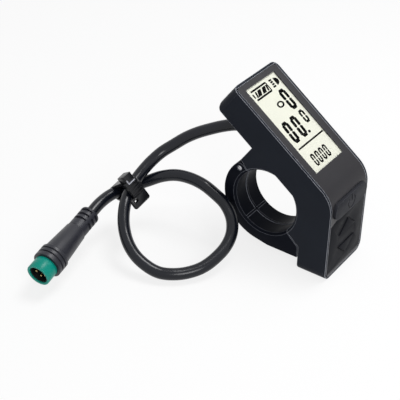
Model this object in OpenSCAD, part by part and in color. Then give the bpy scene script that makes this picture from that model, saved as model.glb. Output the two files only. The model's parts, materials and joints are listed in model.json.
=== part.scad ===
// Handlebar display with three keys, a hinged clamp ring and a moulded lead.
// Frame: the origin is the centre of the clamp bore, +X runs along the bar to the
// rider's right, +Y points away from the rider and +Z points up. Millimetres.

/* [Clamp ring] */
// Diameter of the handlebar that the ring goes round
bar_d = 22.2; // [22:0.1:26]
// Width of the ring along the bar
ring_w = 13; // [12:0.5:16]
// Wall of the hinged strap
strap_wall = 4.25; // [4:0.05:5]
// Wall between the bar and the lower half of the body
saddle_wall = 2; // [1.8:0.1:3]
// Diameter of the hinge pin
pin_d = 1.6; // [1.4:0.1:1.8]

/* [Body] */
// Width of the body
body_w = 23.6; // [23:0.1:27]
// Thickness of the body, front to back
slab_t = 10.4; // [10.2:0.1:12]
// Slope of the screen above level
tilt = 36.5; // [33:0.5:40]
// Height of the key face, up to where the screen plane would cross it
face_h = 30.6; // [29:0.1:32]
// Length of the screen face from the same crossing line to its top edge
screen_l = 46.2; // [45.5:0.1:50]
// Outer radius of the bend between the two faces
bend_r = 9.5; // [8.5:0.5:10]
// Wall of the rear housing
wall = 1.6; // [1.4:0.1:1.8]
// Thickness of the front cover
cover_t = 1.5; // [1.4:0.1:1.6]

/* [Screen] */
// Margin from the sides of the body to the visible window
window_side = 3.7; // [3.6:0.1:4.5]
// Margin from the top edge of the screen face to the window
window_top = 2.9; // [2.7:0.1:4]
// Distance of the window's lower edge from the crossing line
window_s = 9.9; // [9.8:0.1:11]

/* [Keys] */
// Travel of each key
key_travel = 0.5; // [0.3:0.1:0.6]
// Margin from the sides of the body to the power key
power_side = 1.7; // [1.7:0.1:3]
// Height of the power key
power_h = 6; // [5:0.1:6]
// Width of a triangular key
arrow_w = 10.8; // [8:0.1:11]
// Height of a triangular key, as a share of the key face
arrow_share = 0.156; // [0.14:0.002:0.17]

/* [Lead] */
// Diameter of the lead
lead_d = 4; // [3.8:0.1:4]
// Radius of the coloured nose of the plug
nose_r = 4; // [3.8:0.1:4.1]

/* [Hidden] */

$fn = 64;
over = 1;            // overrun of a cutting tool
gap = 0.1;           // gap round an inset part
joint_gap = 0.3;     // gap between the two halves of the ring
run_gap = 0.05;      // radial running clearance of the hinge pin

bore_gap = 0.15;     // radial room between the bar and the bore wall
bore_r = bar_d / 2 + bore_gap;
strap_r = bore_r + strap_wall;
rib_h = 0.15;        // height of the grip rib in the bore
seat_rise = 0.06;    // how far the flat back of the upper half enters the bore
rib_w = 0.8;
rib_a = 308;         // angle of the strap's lengthwise rib about the bore
lip = 0.75;          // bevel at both mouths of the bore

x_left = -ring_w / 2;
x_right = x_left + body_w;
x_mid = (x_left + x_right) / 2;

// Planes of the body: the key face is upright, the screen leans back by tilt,
// and the flat back of the upper half cuts just into the bore's circle.
front_y = -(bore_r + saddle_wall + slab_t);
back_y = front_y + slab_t;
seat_d = bore_r - seat_rise;
bend_bulge = 0.005;  // the bend's arc crosses its two planes instead of just touching them
screen_d = seat_d + slab_t;
cross_z = (screen_d + front_y * sin(tilt)) / cos(tilt);
bottom_z = cross_z - face_h;
bend_c = [front_y + bend_r,
    (screen_d - bend_r + (front_y + bend_r) * sin(tilt)) / cos(tilt)];

// Point at distance s up the screen and depth d below its surface, as [y, z]
function at(s, d) = [front_y + s * cos(tilt) + d * sin(tilt),
    cross_z + s * sin(tilt) - d * cos(tilt)];
// Where the two planes of depth d cross
function corner(d) = [front_y + d,
    (screen_d - d + (front_y + d) * sin(tilt)) / cos(tilt)];
function polar(r, a) = [r * cos(a), r * sin(a)];

// Side outline of everything deeper than d and shallower than far, held back
// by end from the bottom and the top edge
module deep(d, far, end) {
    difference() {
        polygon([[front_y + d, bottom_z + end], corner(d), at(screen_l - end, d),
            at(screen_l - end, far), corner(far), [front_y + far, bottom_z + end]]);
        difference() {
            polygon([bend_c, [front_y + d - over, bend_c[1]], corner(d - over),
                bend_c + polar(bend_r - d + over, 90 + tilt)]);
            translate(bend_c) circle(r = bend_r - d + bend_bulge);
        }
    }
}
// Turns a [y, z] outline into a solid between two x values
module across(x0, x1) {
    translate([x0, 0, 0]) rotate([90, 0, 90]) linear_extrude(x1 - x0) children();
}
// Local frame of the screen: x across, y up the screen, z out of it
module on_screen(x, s, d) {
    translate([x, front_y, cross_z]) rotate([tilt, 0, 0]) translate([0, s, -d]) children();
}
// Local frame of the key face: x across, y up, z out of it (towards the rider)
module on_face(x, z, d) {
    translate([x, front_y + d, z]) rotate([90, 0, 0]) children();
}
// Frame whose z axis points the way given by its angle from up and its heading
module aim(point, from_up, heading) {
    translate(point) rotate([0, from_up, heading]) children();
}

// Corner radii of the body
top_r = 2.4;
foot_r = 3;
heel_r = 1.7;
rim = 0.9;           // rim of the housing round the front cover

// Rounds one long corner: leaves a quarter of a cylinder in a block's corner
module corner_tool(r, t, sx, sy) {
    translate([0, 0, -over]) difference() {
        translate([sx > 0 ? -r : -over, sy > 0 ? -r : -over, 0]) cube([r + over, r + over, t + 2 * over]);
        translate([-sx * r, -sy * r, -over]) cylinder(r = r, h = t + 4 * over);
    }
}
module round_corners(inset) {
    for (side = [-1, 1]) {
        x = side > 0 ? x_right - inset : x_left + inset;
        on_screen(x, screen_l - inset, slab_t) corner_tool(top_r - inset, slab_t, side, 1);
        on_face(x, bottom_z + inset, slab_t) corner_tool(foot_r - inset, slab_t, side, -1);
    }
}

// Clamp: hinge at the back, screw under the body
hinge_a = 42.6;      // angle of the hinge pin about the bore
hinge_share = 0.55;  // how deep in the strap's wall the pin lies
hinge_r = bore_r + strap_wall * hinge_share;
hinge_p = polar(hinge_r, hinge_a);
knuckle_r = strap_r - hinge_r;
knuckle_w = 5;       // width of the housing's middle knuckle
knuckle_gap = 0.25;
seam_step_a = 10;    // from the pin to the upper seam
seam_lap_a = 1;      // overlap of the pieces of one body at the upper seam
seam_a = hinge_a + seam_step_a;
ear_s = 28.9;        // where the ear leaves the back of the upper half
ear_rise = 0.35;     // how far the ear stands over the strap
ear_r = strap_r + ear_rise;

lug_a = 221.6;       // angle of the lower seam
lug_out = polar(back_y / cos(lug_a), lug_a);
foot_drop = 0.6;     // depth of the flat foot below the strap's circle
foot_z = -strap_r - foot_drop;
foot_share = 0.12;   // where the flat foot ends, in strap radii before the middle
foot_end_a = 282;    // where the foot's ramp meets the strap's circle

// Clamp screw, square to the line from the hinge pin to the middle of the seam,
// so that it leaves its insert along the arc of the opening strap
screw_share = 0.67;  // how deep in the strap's wall the screw crosses the seam
screw_mid = polar(bore_r + screw_share * strap_wall, lug_a);
screw_v = screw_mid - hinge_p;
screw_core_r = 1.2;  // core of the thread, as the screw is drawn
screw_thread_r = 1.5; // full thread, as the insert's bore is drawn
screw_head_r = 2.5;
screw_head_h = 2;
screw_seat = 4.2;    // from the seam to the seat of the head
screw_in = 3.5;      // length in the insert
screw_key_r = 1.25;  // hexagon in the head
screw_key_h = 1.2;
screw_root = 0.4;    // how far the core reaches into the head
hole_gap = 0.1;
insert_r = 2.2;
insert_l = 4;
boss_wall = 1.1;
tip_room = 0.5;

// Frame on the screw's axis: z points out of the lug, towards the head
module on_screw(z) {
    translate([0, screw_mid[0], screw_mid[1]]) rotate([atan2(screw_v[1], screw_v[0]), 0, 0])
        translate([0, 0, z]) children();
}
// Cylinder along X on the point [y, z], between two x values
module axle(point, r, x0, x1) {
    translate([x0, point[0], point[1]]) rotate([0, 90, 0]) cylinder(r = r, h = x1 - x0);
}
// Outline of a sector about the bore, from one angle round to another
module sector(a0, a1) {
    reach = 3 * strap_r;
    steps = 6;
    polygon(concat([[0, 0]], [for (i = [0:steps]) polar(reach, a0 + (a1 - a0) * i / steps)]));
}

// Outlet of the lead: a hood on the back with an upright rear face
hood_x = 6;
hood_w = 7.4;
hood_face_y = 12;
hood_rise = 5.25;    // from the bore to the middle of the outlet
hood_z = bore_r + hood_rise;
hood_under = 1.4;    // from the bore to the hood's underside
hood_low_z = bore_r + hood_under;
hood_s0 = 20;        // where the hood starts up the back
stem_r = 2.4;        // stem of the strain relief
stem_gap = 0.05;
stem_l = 8.6;
relief_collar_r = 3.3;
relief_collar_t = 1;
relief_tip_r = 2.5;
relief_l = 4.5;

// Small screws that hold the cover, entered from the back
screw2_side = 3.3;   // from the side of the body to the screw
screw2_rise = 2;     // from the inside of the foot to the screw
cover_screw_x = [x_left + screw2_side, x_right - screw2_side];
cover_screw_z = bottom_z + wall + screw2_rise;
top_screw_s = 5;
screw2_r = 1;
screw2_head_r = 1.8;
screw2_head_h = 0.9;
screw2_seat = 1;     // depth of the head's pocket
screw2_l = 6;
post_r = 1.6;
post_root = 0.5;     // how far a post reaches into the cover
post_l = slab_t - wall - cover_t + post_root;

// Stack behind the screen, measured down from the screen face
lens_skin = 0.05;    // how far the lens lies below the cover
lip_t = 0.4;         // thin lip of the cover round the window, in front of the glass
gasket_t = 0.15;     // foam tape between the lip and the glass
glass_t = 1.8;
light_t = 2.4;
board_t = 1;
glass_d = lip_t + gasket_t;
light_d = glass_d + glass_t;
board_d = light_d + light_t;
window_w = body_w - 2 * window_side;
window_l = screen_l - window_s - window_top;
glass_edge = 0.8;    // how far the glass reaches past the window
stack_s = window_s + window_l / 2;
glass_w = window_w + 2 * glass_edge;
glass_l = window_l + 2 * glass_edge;
board_room = 0.4;    // between a board's edge and the housing
board_low = 1.6;     // between the board and the post below it
board_w = body_w - 2 * (wall + board_room);
board_s0 = top_screw_s + post_r + board_low;
board_s1 = screen_l - wall - board_room;
chip_w = 6;
chip_t = 0.9;
chip_s = 38;
coil_r = 2;
coil_h = 1.7;
cap_w = 1.6;
cap_n = 3;
parts_s = 14;
socket_w = 6;
socket_l = 4;
socket_t = 1.9;
socket_s = 32;
wire_r = 0.9;
wire_room = 0.2;     // between the wires' lower end and the stem
wire_drop = 1.1;     // from the board to the middle of the wires
wire_d = board_d + board_t + wire_drop;
wire_s0 = (hood_z + stem_r + wire_room - cross_z + (wire_d + wire_r) * cos(tilt)) / sin(tilt);
board_post_r = 1;
board_post_end = 2.5; // from the board's ends to the posts
board_post_side = 1.6; // from the housing's wall to the posts
board_post_s = [board_s0 + board_post_end, board_s1 - board_post_end];
board_post_x = [x_left + wall + board_post_side, x_right - wall - board_post_side];

// Keys, with x about the middle of the body and z on the key face
power_w = body_w - 2 * power_side;
power_drop = 5.16;   // from the crossing line to the middle of the power key
power_z = cross_z - power_drop;
arrow_h = face_h * arrow_share;
up_share = 0.5411;   // base lines of the two triangles, as shares of the key face
down_share = 0.6817;
arrow_shift = 0.3;   // the triangles stand a little right of the middle
arrow_x = x_mid + arrow_shift;
up_z = cross_z - face_h * up_share;
down_z = cross_z - face_h * down_share;
key_gap = 0.15;
arrow_rise = 0.3;    // how far a triangular key stands out of the panel
power_rise = 0.9;    // how far the power key stands proud
key_flange = 0.5;
key_flange_t = 0.5;
key_play = 0.1;      // between a key's flange and the back of the cover
stem_key_r = 1;
switch_w = 4.5;
switch_t = 1.6;
switch_knob_r = 0.9;
switch_knob_h = 0.25;
switch_room = 0.8;   // between a fully pressed flange and the switches
switch_play = 0.1;   // between a fully pressed stem and its switch's knob
power_press = 1.1;   // how far below the power key's middle its stem stands
key_board_d = cover_t + key_play + key_flange_t + key_travel + switch_room + switch_t;
key_board_rise = 1.2; // from the middle of the power key to the board's top edge
key_board_top = power_z + key_board_rise;
key_board_t = 1;
stem_end = key_board_d - switch_t - switch_knob_h - key_travel - switch_play;
panel_t = 0.5;
panel_side = 1.1;    // margin of the key panel to the sides of the body
panel_bar = 0.3;     // between the power key and the panel
panel_low = 1.9;     // margin of the panel to the foot of the body
panel_top = power_z - power_h / 2 - panel_bar;
panel_foot = bottom_z + panel_low;
panel_cut = [4.6, 1.5]; // cut corner of the panel
ribbon_w = 8;
ribbon_t = 0.3;
ribbon_lap = 2;      // length of the ribbon on each board
ribbon_ease = 0.5;   // where the ribbon starts to bend, before a board's edge

// Plug at the end of the lead: lengths along its axis from the lead's end
plug_shift = [-42.4, 31.3, -24.2]; // from the outlet, as the route's last point
plug_from_up = 100.6;
plug_heading = 186.4;
grip_l = 8.4;
grip_r = 3.3;
grip_slots = 3;
slot_w = 0.85;
slot_pitch = 1.9;
slot_h = 0.5;
plug_l = 24.6;
plug_neck_r = 3.5;
plug_full_r = 4.5;
flange_r = 4.9;
flange_l = 4.6;
flange_slots = 2;     // grooves between the flange's rings
flange_slot_w = 0.35;
nose_l = 4.8;
nose_wall = 0.8;
nose_root_l = 3.5;
nose_step = 0.4;     // step from the nose to its root
nose_root_r = nose_r - nose_step;
nose_bore_l = 4.2;
insert_t = 1;        // floor of the insert's cup
insert_wall = 0.35;
insert_in = 0.5;     // from the nose's mouth to the rim of the cup
plug_pin_r = 0.4;
plug_pin_l = 2.8;
plug_pin_n = 5;
plug_pin_turn = -9;   // first pin, from straight down round the axis
pin_ring_share = 0.55; // circle of the pins, as a share of the nose's bore

// Route of the lead's middle line from the outlet, at the strain relief's tip, to the plug
route = [[0, 0, 0], [-0.5, 3.5, -0.5], [-2, 7, -1.5], [-3.7, 10.5, -2.9], [-5.8, 14.5, -4.8],
    [-8, 18, -7], [-10.8, 21, -9.5], [-14, 23.5, -11.7], [-18, 24.8, -13.7],
    [-22, 25.3, -15.5], [-26, 25.3, -17.2], [-30, 24.5, -18.9], [-34.3, 23, -20.9],
    [-37.8, 21, -23.3], [-40.6, 18.5, -25.8], [-43, 15, -28.5], [-44.1, 11, -31.1],
    [-44, 6.5, -33.2], [-43, 2.5, -34.4], [-40.7, -1.3, -34.7], [-37.5, -4.5, -34.6],
    [-33.5, -7.2, -33.9], [-28.8, -8.8, -32.5], [-23.7, -9.5, -30.5], [-19.2, -8.7, -28],
    [-16.2, -6.5, -24.8], [-15, -3, -21.3], [-15, 1.5, -18.7], [-15, 6, -17.1],
    [-15.3, 11, -16.5], [-16.2, 16, -16.8], [-18, 20.5, -18.1], [-20.6, 24.5, -20.1],
    [-23.8, 27.8, -21.5], [-27.8, 30.3, -22.2], [-32.5, 31.5, -22.5], [-37.5, 31.6, -23],
    [-42.4, 31.3, -24.2]];
lead_sides = 10;
outlet = [hood_x, hood_face_y + relief_l, hood_z];
lead_path = [for (p = route) outlet + p];

// Tie round the crossing of the lead: x towards the tail's side, z along the lead
tie_shift = [-28.4, 27.45, -20.45]; // from the outlet
tie_from_up = 104.3;
tie_heading = 176.7;
tie_turn = 124.3;
tie_w = 4.2;
tie_t = 1;
tie_room = 0.75;     // between the band and the lead
tie_reach = 3.7;     // half the length of the band's straight sides
tie_side = 1;        // how far the tail stands to one side of the band
tie_head_side = 0.6; // the same for the head
tie_head = [3.9, 2.9, 3.2];
tie_tail_w = 4.6;
tie_tail_in = 3.3;   // start of the tail, in the head
tie_tail_out = -2.5; // end of the tail, in the tab
tie_tab = [1.6, 3.5, 6.8];
tie_tab_y = -5.2;    // free end of the tab
tie_tab_lift = 0.6;  // how far the tab bends up from the tail
tie_tab_side = 2.3;
tie_hole_r = 0.75;
tie_hole = [2.6, 3.8]; // the tab's hole, as its distances y and z
tie_ribs = 5;
tie_rib_h = 0.35;
tie_rib_w = 0.5;
tie_rib_y = 1.9;     // first rib

// Bore through the ring, with a rib round it at mid width, a rib along the strap
// and a bevel at each mouth
module ring_bore() {
    axle([0, 0], bore_r - rib_h, x_left - over, -x_left + over);
    for (side = [-1, 1]) difference() {
        axle([0, 0], bore_r, side > 0 ? rib_w / 2 : x_left - over, side > 0 ? -x_left + over : -rib_w / 2);
        rotate([rib_a, 0, 0]) translate([x_left - 2 * over, 0, -rib_w / 2])
            cube([ring_w + 4 * over, 2 * bore_r, rib_w]);
    }
    for (side = [-1, 1])
        translate([side * -x_left, 0, 0]) rotate([0, -90 * side, 0])
            translate([0, 0, -over])
                cylinder(r1 = bore_r + lip + over, r2 = bore_r - over, h = lip + 2 * over);
}

// The housing's half of the ring
embed = 0.6;         // depth that the saddle reaches into the back wall
module saddle_2d() {
    polygon([at(ear_s, slab_t - embed), at(ear_s, slab_t), polar(ear_r, seam_a), [0, 0],
        lug_out, lug_out - [embed, 0], corner(slab_t - embed)]);
}
module neck_2d() {
    intersection() {
        difference() {
            circle(r = strap_r);
            circle(r = hinge_r - knuckle_r);
        }
        sector(hinge_a, seam_a + seam_lap_a);
    }
}
module saddle() {
    difference() {
        union() {
            across(x_left, -x_left) saddle_2d();
            on_screw(-insert_l - boss_wall) cylinder(r = insert_r + boss_wall, h = insert_l + boss_wall);
        }
        ring_bore();
        axle(hinge_p, knuckle_r + knuckle_gap, x_left - over, -x_left + over);
    }
    difference() {
        union() {
            across(-knuckle_w / 2, knuckle_w / 2) neck_2d();
            axle(hinge_p, knuckle_r, -knuckle_w / 2, knuckle_w / 2);
        }
        axle(hinge_p, pin_d / 2 + run_gap, x_left - over, -x_left + over);
    }
}
module hood() {
    face_top = [hood_face_y, (seat_d + hood_face_y * sin(tilt)) / cos(tilt)];
    across(hood_x - hood_w / 2, hood_x + hood_w / 2)
        polygon([at(hood_s0, slab_t - embed), face_top + [0, embed], [hood_face_y, hood_low_z],
            [at(hood_s0, slab_t)[0], hood_low_z]]);
}
// Pocket and hole of a small screw, with z out of the surface that it enters
module screw_pocket() {
    translate([0, 0, -screw2_seat]) cylinder(r = screw2_head_r + hole_gap, h = screw2_seat + over);
    translate([0, 0, -wall - over]) cylinder(r = screw2_r + hole_gap, h = wall + over);
}
module heel_tool() {
    translate([x_left - over, back_y, bottom_z]) rotate([90, 0, 90])
        corner_tool(heel_r, body_w + 2 * over, 1, -1);
}
module crown_tool() {
    on_screen(x_left - over, screen_l, slab_t) rotate([90, 0, 90])
        corner_tool(top_r, body_w + 2 * over, 1, -1);
}

module rear_housing() {
    color([0.15, 0.16, 0.18]) difference() {
        union() {
            difference() {
                across(x_left, x_right) deep(0, slab_t, 0);
                across(x_left + wall, x_right - wall) deep(-2 * over, slab_t - wall, wall);
                across(x_left + rim, x_right - rim) difference() {
                    deep(-over, slab_t, rim);
                    deep(cover_t, slab_t + over, 0);
                }
            }
            saddle();
            hood();
            for (x = board_post_x) for (s = board_post_s)
                on_screen(x, s, slab_t - wall / 2)
                    cylinder(r = board_post_r, h = slab_t - wall / 2 - board_d - board_t);
        }
        round_corners(0);
        heel_tool();
        crown_tool();
        translate([hood_x, hood_face_y + over, hood_z]) rotate([90, 0, 0])
            cylinder(r = stem_r + stem_gap, h = hood_face_y + 2 * over);
        on_screw(-insert_l) cylinder(r = insert_r, h = insert_l + over);
        on_screw(-insert_l - tip_room) cylinder(r = screw_thread_r, h = insert_l);
        for (x = cover_screw_x) on_back(x, cover_screw_z) screw_pocket();
        on_screen(cover_screw_x[1], top_screw_s, slab_t) rotate([180, 0, 0]) screw_pocket();
    }
}
// Frame on the back of the lower half: z out of it, away from the rider
module on_back(x, z) {
    translate([x, back_y, z]) rotate([-90, 0, 0]) children();
}

module pill(w, h, t) {
    r = h / 2;
    translate([-w / 2 + r, -h / 2, 0]) cube([w - h, h, t]);
    for (x = [-w / 2 + r, w / 2 - r]) translate([x, 0, 0]) cylinder(r = r, h = t);
}
// Triangle with its base on y = 0, pointing up for way = 1 and down for way = -1,
// grown by g on each side
module arrow(way, g, t) {
    side = norm([arrow_w / 2, arrow_h]);
    tip = g * side / (arrow_w / 2);
    half = (arrow_h + tip + g) * (arrow_w / 2) / arrow_h;
    linear_extrude(t) polygon([[-half, -way * g], [half, -way * g], [0, way * (arrow_h + tip)]]);
}
module panel_2d(g) {
    x0 = x_left + panel_side + g;
    x1 = x_right - panel_side - g;
    polygon([[x0, panel_foot + g], [x1, panel_foot + g], [x1, panel_top - g],
        [x0 + panel_cut[0], panel_top - g], [x0, panel_top - panel_cut[1] - g]]);
}
module front_cover() {
    color([0.27, 0.27, 0.29]) difference() {
        union() {
            difference() {
                across(x_left + rim + gap, x_right - rim - gap) difference() {
                    deep(0, slab_t, rim + gap);
                    deep(cover_t, slab_t + over, 0);
                }
                round_corners(rim + gap);
            }
            for (x = cover_screw_x)
                on_face(x, cover_screw_z, slab_t - wall) cylinder(r = post_r, h = post_l);
            on_screen(cover_screw_x[1], top_screw_s, slab_t - wall) cylinder(r = post_r, h = post_l);
        }
        on_screen(x_mid, stack_s, cover_t + over) plate(window_w, window_l, cover_t + 2 * over);
        on_screen(x_mid, stack_s, cover_t + over)
            plate(glass_w + 4 * gap, glass_l + 4 * gap, cover_t + over - lip_t);
        on_face(x_mid, power_z, 2 * cover_t) pill(power_w, power_h, 2 * cover_t + over);
        on_face(0, 0, panel_t) linear_extrude(panel_t + over) panel_2d(0);
        on_face(arrow_x, up_z, cover_t + over) arrow(1, 0, cover_t + 2 * over);
        on_face(arrow_x, down_z, cover_t + over) arrow(-1, 0, cover_t + 2 * over);
        for (x = cover_screw_x)
            on_face(x, cover_screw_z, slab_t) cylinder(r = screw2_r, h = screw2_seat + screw2_l);
        on_screen(cover_screw_x[1], top_screw_s, slab_t) cylinder(r = screw2_r, h = screw2_seat + screw2_l);
    }
}
module plate(w, l, t) {
    translate([-w / 2, -l / 2, 0]) cube([w, l, t]);
}

module lens_window() {
    color([0.9, 0.9, 0.85, 0.4]) on_screen(x_mid, stack_s, glass_d)
        plate(window_w - 2 * gap, window_l - 2 * gap, glass_d - lens_skin);
}
module window_gasket() {
    color([0.1, 0.1, 0.1]) on_screen(x_mid, stack_s, glass_d) difference() {
        plate(glass_w, glass_l, gasket_t);
        translate([0, 0, -over]) plate(window_w + 2 * gap, window_l + 2 * gap, gasket_t + 2 * over);
    }
}
module lcd_glass() {
    color([0.93, 0.94, 0.82]) on_screen(x_mid, stack_s, light_d) plate(glass_w, glass_l, glass_t);
}
module lcd_backlight() {
    color([0.95, 0.95, 0.95]) on_screen(x_mid, stack_s, board_d)
        plate(glass_w - 2 * gap, glass_l - 2 * gap, light_t);
}
module main_pcb() {
    color([0.05, 0.35, 0.2]) on_screen(x_mid, (board_s0 + board_s1) / 2, board_d + board_t)
        plate(board_w, board_s1 - board_s0, board_t);
}
module controller_chip() {
    color([0.1, 0.1, 0.1]) on_screen(x_mid, chip_s, board_d + board_t + chip_t) plate(chip_w, chip_w, chip_t);
}
module power_parts() {
    color([0.35, 0.3, 0.25]) {
        on_screen(x_mid - 2 * coil_r, parts_s, board_d + board_t + coil_h) cylinder(r = coil_r, h = coil_h);
        for (i = [0:cap_n - 1])
            on_screen(x_mid + 2 * cap_w * i, parts_s, board_d + board_t + cap_w / 2)
                plate(cap_w, 2 * cap_w, cap_w / 2);
    }
}
module cable_socket() {
    color([0.92, 0.9, 0.85]) on_screen(hood_x, socket_s, board_d + board_t + socket_t)
        plate(socket_w, socket_l, socket_t);
}
module inner_wires() {
    color([0.6, 0.1, 0.1]) on_screen(hood_x, wire_s0, wire_d) rotate([-90, 0, 0])
        cylinder(r = wire_r, h = socket_s - socket_l / 2 - wire_s0);
}

module key_pcb() {
    foot = bottom_z + wall + board_room;
    color([0.05, 0.35, 0.2]) difference() {
        on_face(x_mid, (foot + key_board_top) / 2, key_board_d + key_board_t)
            plate(board_w, key_board_top - foot, key_board_t);
        // square notches in the lower corners, for the posts
        for (x = cover_screw_x)
            on_face(x, cover_screw_z, key_board_d + key_board_t + over)
                plate(2 * (post_r + gap), 2 * (post_r + gap), key_board_t + 2 * over);
    }
}
module tact_switches() {
    color([0.75, 0.75, 0.75])
        for (z = [power_z - power_press, up_z + arrow_h / 3, down_z - arrow_h / 3]) {
            on_face(arrow_x, z, key_board_d) plate(switch_w, switch_w, switch_t);
            on_face(arrow_x, z, key_board_d - switch_t) cylinder(r = switch_knob_r, h = switch_knob_h);
        }
}
module board_ribbon() {
    y = front_y + key_board_d + key_board_t;
    d = board_d + board_t;
    color([0.8, 0.5, 0.15]) across(x_mid - ribbon_w / 2, x_mid + ribbon_w / 2)
        polygon([[y, key_board_top - ribbon_lap], [y + ribbon_t, key_board_top - ribbon_lap],
            [y + ribbon_t, key_board_top - ribbon_ease - ribbon_t], at(board_s0 + ribbon_t, d + ribbon_t),
            at(board_s0 + ribbon_lap, d + ribbon_t), at(board_s0 + ribbon_lap, d),
            at(board_s0 + gap, d), [y, key_board_top - ribbon_ease]]);
}

module key_panel() {
    color([0.2, 0.2, 0.22]) difference() {
        on_face(0, 0, panel_t) linear_extrude(panel_t) panel_2d(gap / 2);
        on_face(arrow_x, up_z, panel_t + over) arrow(1, 0, panel_t + 2 * over);
        on_face(arrow_x, down_z, panel_t + over) arrow(-1, 0, panel_t + 2 * over);
    }
}
// Stem of a key, from its flange to just in front of its switch
module key_stem(z) {
    on_face(arrow_x, z, stem_end) cylinder(r = stem_key_r, h = stem_end - cover_t - key_play);
}
module power_button() {
    low = power_z - power_h / 2 - key_flange;
    high = bend_c[1] + key_flange;
    color([0.12, 0.12, 0.13]) {
        intersection() {
            on_face(x_mid, power_z, cover_t + key_play)
                pill(power_w - 2 * key_gap, power_h - 2 * key_gap, cover_t + key_play + power_rise + over);
            across(x_left, x_right) deep(-power_rise, slab_t, 0);
        }
        on_face(x_mid, (low + high) / 2, cover_t + key_play + key_flange_t)
            plate(power_w, high - low, key_flange_t);
        key_stem(power_z - power_press);
    }
}
module arrow_key(way, z) {
    on_face(arrow_x, z, cover_t + key_play) arrow(way, -key_gap, cover_t + key_play + arrow_rise);
    on_face(arrow_x, z, cover_t + key_play + key_flange_t) arrow(way, key_flange, key_flange_t);
    key_stem(z + way * arrow_h / 3);
}
module up_button() {
    color([0.16, 0.16, 0.17]) arrow_key(1, up_z);
}
module down_button() {
    color([0.16, 0.16, 0.17]) arrow_key(-1, down_z);
}

// A small screw on its axis, with z out of the surface that it enters
module small_screw() {
    translate([0, 0, -screw2_seat]) cylinder(r = screw2_head_r, h = screw2_head_h);
    translate([0, 0, -screw2_seat - screw2_l]) cylinder(r = screw2_r, h = screw2_l);
}
module cover_screws() {
    color([0.6, 0.6, 0.62]) {
        for (x = cover_screw_x) on_back(x, cover_screw_z) small_screw();
        on_screen(cover_screw_x[1], top_screw_s, slab_t) rotate([180, 0, 0]) small_screw();
    }
}
module screw_insert() {
    color([0.8, 0.65, 0.3]) on_screw(-insert_l) difference() {
        cylinder(r = insert_r, h = insert_l);
        translate([0, 0, -over]) cylinder(r = screw_thread_r, h = insert_l + 2 * over);
    }
}

// The hinged half of the ring
module strap_2d() {
    gap_a = asin(joint_gap / (bore_r + strap_wall / 2));
    difference() {
        union() {
            circle(r = strap_r);
            polygon([[back_y + joint_gap, back_y * tan(lug_a)], [back_y + joint_gap, foot_z],
                [-strap_r * foot_share, foot_z], polar(strap_r, foot_end_a), [0, 0]]);
        }
        sector(hinge_a, lug_a + gap_a);
    }
    // inner half of the wall, up to the seam
    intersection() {
        circle(r = hinge_r);
        sector(hinge_a - seam_lap_a, seam_a - gap_a);
    }
}
module clamp_strap() {
    color([0.11, 0.11, 0.12]) difference() {
        union() {
            across(x_left, -x_left) strap_2d();
            axle(hinge_p, knuckle_r, x_left, -x_left);
        }
        ring_bore();
        axle(hinge_p, knuckle_r + knuckle_gap, -knuckle_w / 2 - joint_gap / 2, knuckle_w / 2 + joint_gap / 2);
        across(-knuckle_w / 2 - joint_gap / 2, knuckle_w / 2 + joint_gap / 2)
            sector(hinge_a, seam_a + seam_lap_a);
        axle(hinge_p, pin_d / 2 + run_gap, x_left - over, -x_left + over);
        on_screw(-over) cylinder(r = screw_thread_r + hole_gap, h = screw_seat + 2 * over);
        on_screw(screw_seat) cylinder(r = screw_head_r + 2 * hole_gap, h = strap_r);
    }
}
module hinge_pin() {
    color([0.7, 0.7, 0.72]) axle(hinge_p, pin_d / 2, x_left + hole_gap, -x_left - hole_gap);
}
module clamp_screw() {
    color([0.65, 0.65, 0.67]) difference() {
        union() {
            on_screw(-screw_in) cylinder(r = screw_core_r, h = screw_in + screw_seat + screw_root);
            on_screw(screw_seat) cylinder(r = screw_head_r, h = screw_head_h);
        }
        on_screw(screw_seat + screw_head_h - screw_key_h)
            cylinder(r = screw_key_r, h = screw_key_h + over, $fn = 6);
    }
}

// Frame on the outlet's axis: z points out of the hood, y from its face
module on_outlet(y) {
    translate([hood_x, hood_face_y + y, hood_z]) rotate([-90, 0, 0]) children();
}
module strain_relief() {
    cone_r = relief_collar_r - relief_collar_t / 2;
    color([0.08, 0.08, 0.08]) {
        on_outlet(-stem_l) cylinder(r = stem_r, h = stem_l);
        on_outlet(0) cylinder(r = relief_collar_r, h = relief_collar_t);
        on_outlet(relief_collar_t) cylinder(r1 = cone_r, r2 = relief_tip_r, h = relief_l - relief_collar_t);
    }
}

// Tube swept along the lead's path, one ring of points at each of its points
function unit(v) = v / norm(v);
path_n = len(lead_path);
plug_way = [sin(plug_from_up) * cos(plug_heading), sin(plug_from_up) * sin(plug_heading), cos(plug_from_up)];
function heading(i) = i == 0 ? [0, 1, 0]
    : i == path_n - 1 ? plug_way
    : unit(unit(lead_path[i + 1] - lead_path[i]) + unit(lead_path[i] - lead_path[i - 1]));
// The ring's first spoke, carried from point to point without twist
spokes = [for (i = 0, s = [1, 0, 0]; i < path_n;
    i = i + 1, s = i < path_n ? unit(s - (s * heading(i)) * heading(i)) : s) s];
module tube(d) {
    turn = 360 / lead_sides;
    rings = [for (i = [0:path_n - 1]) let (a = spokes[i], b = cross(heading(i), a))
        for (k = [0:lead_sides - 1]) lead_path[i] + d / 2 * (cos(turn * k) * a + sin(turn * k) * b)];
    sides = [for (i = [0:path_n - 2], k = [0:lead_sides - 1])
        let (n = (k + 1) % lead_sides, p = i * lead_sides, q = p + lead_sides)
            each [[p + k, q + k, q + n], [p + k, q + n, p + n]]];
    caps = [for (k = [1:lead_sides - 2]) each [[0, k, k + 1],
        (path_n - 1) * lead_sides * [1, 1, 1] + [0, k + 1, k]]];
    polyhedron(points = rings, faces = concat(sides, caps));
}
lead_steps = [for (i = [1:path_n - 1]) norm(lead_path[i] - lead_path[i - 1])];
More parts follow.
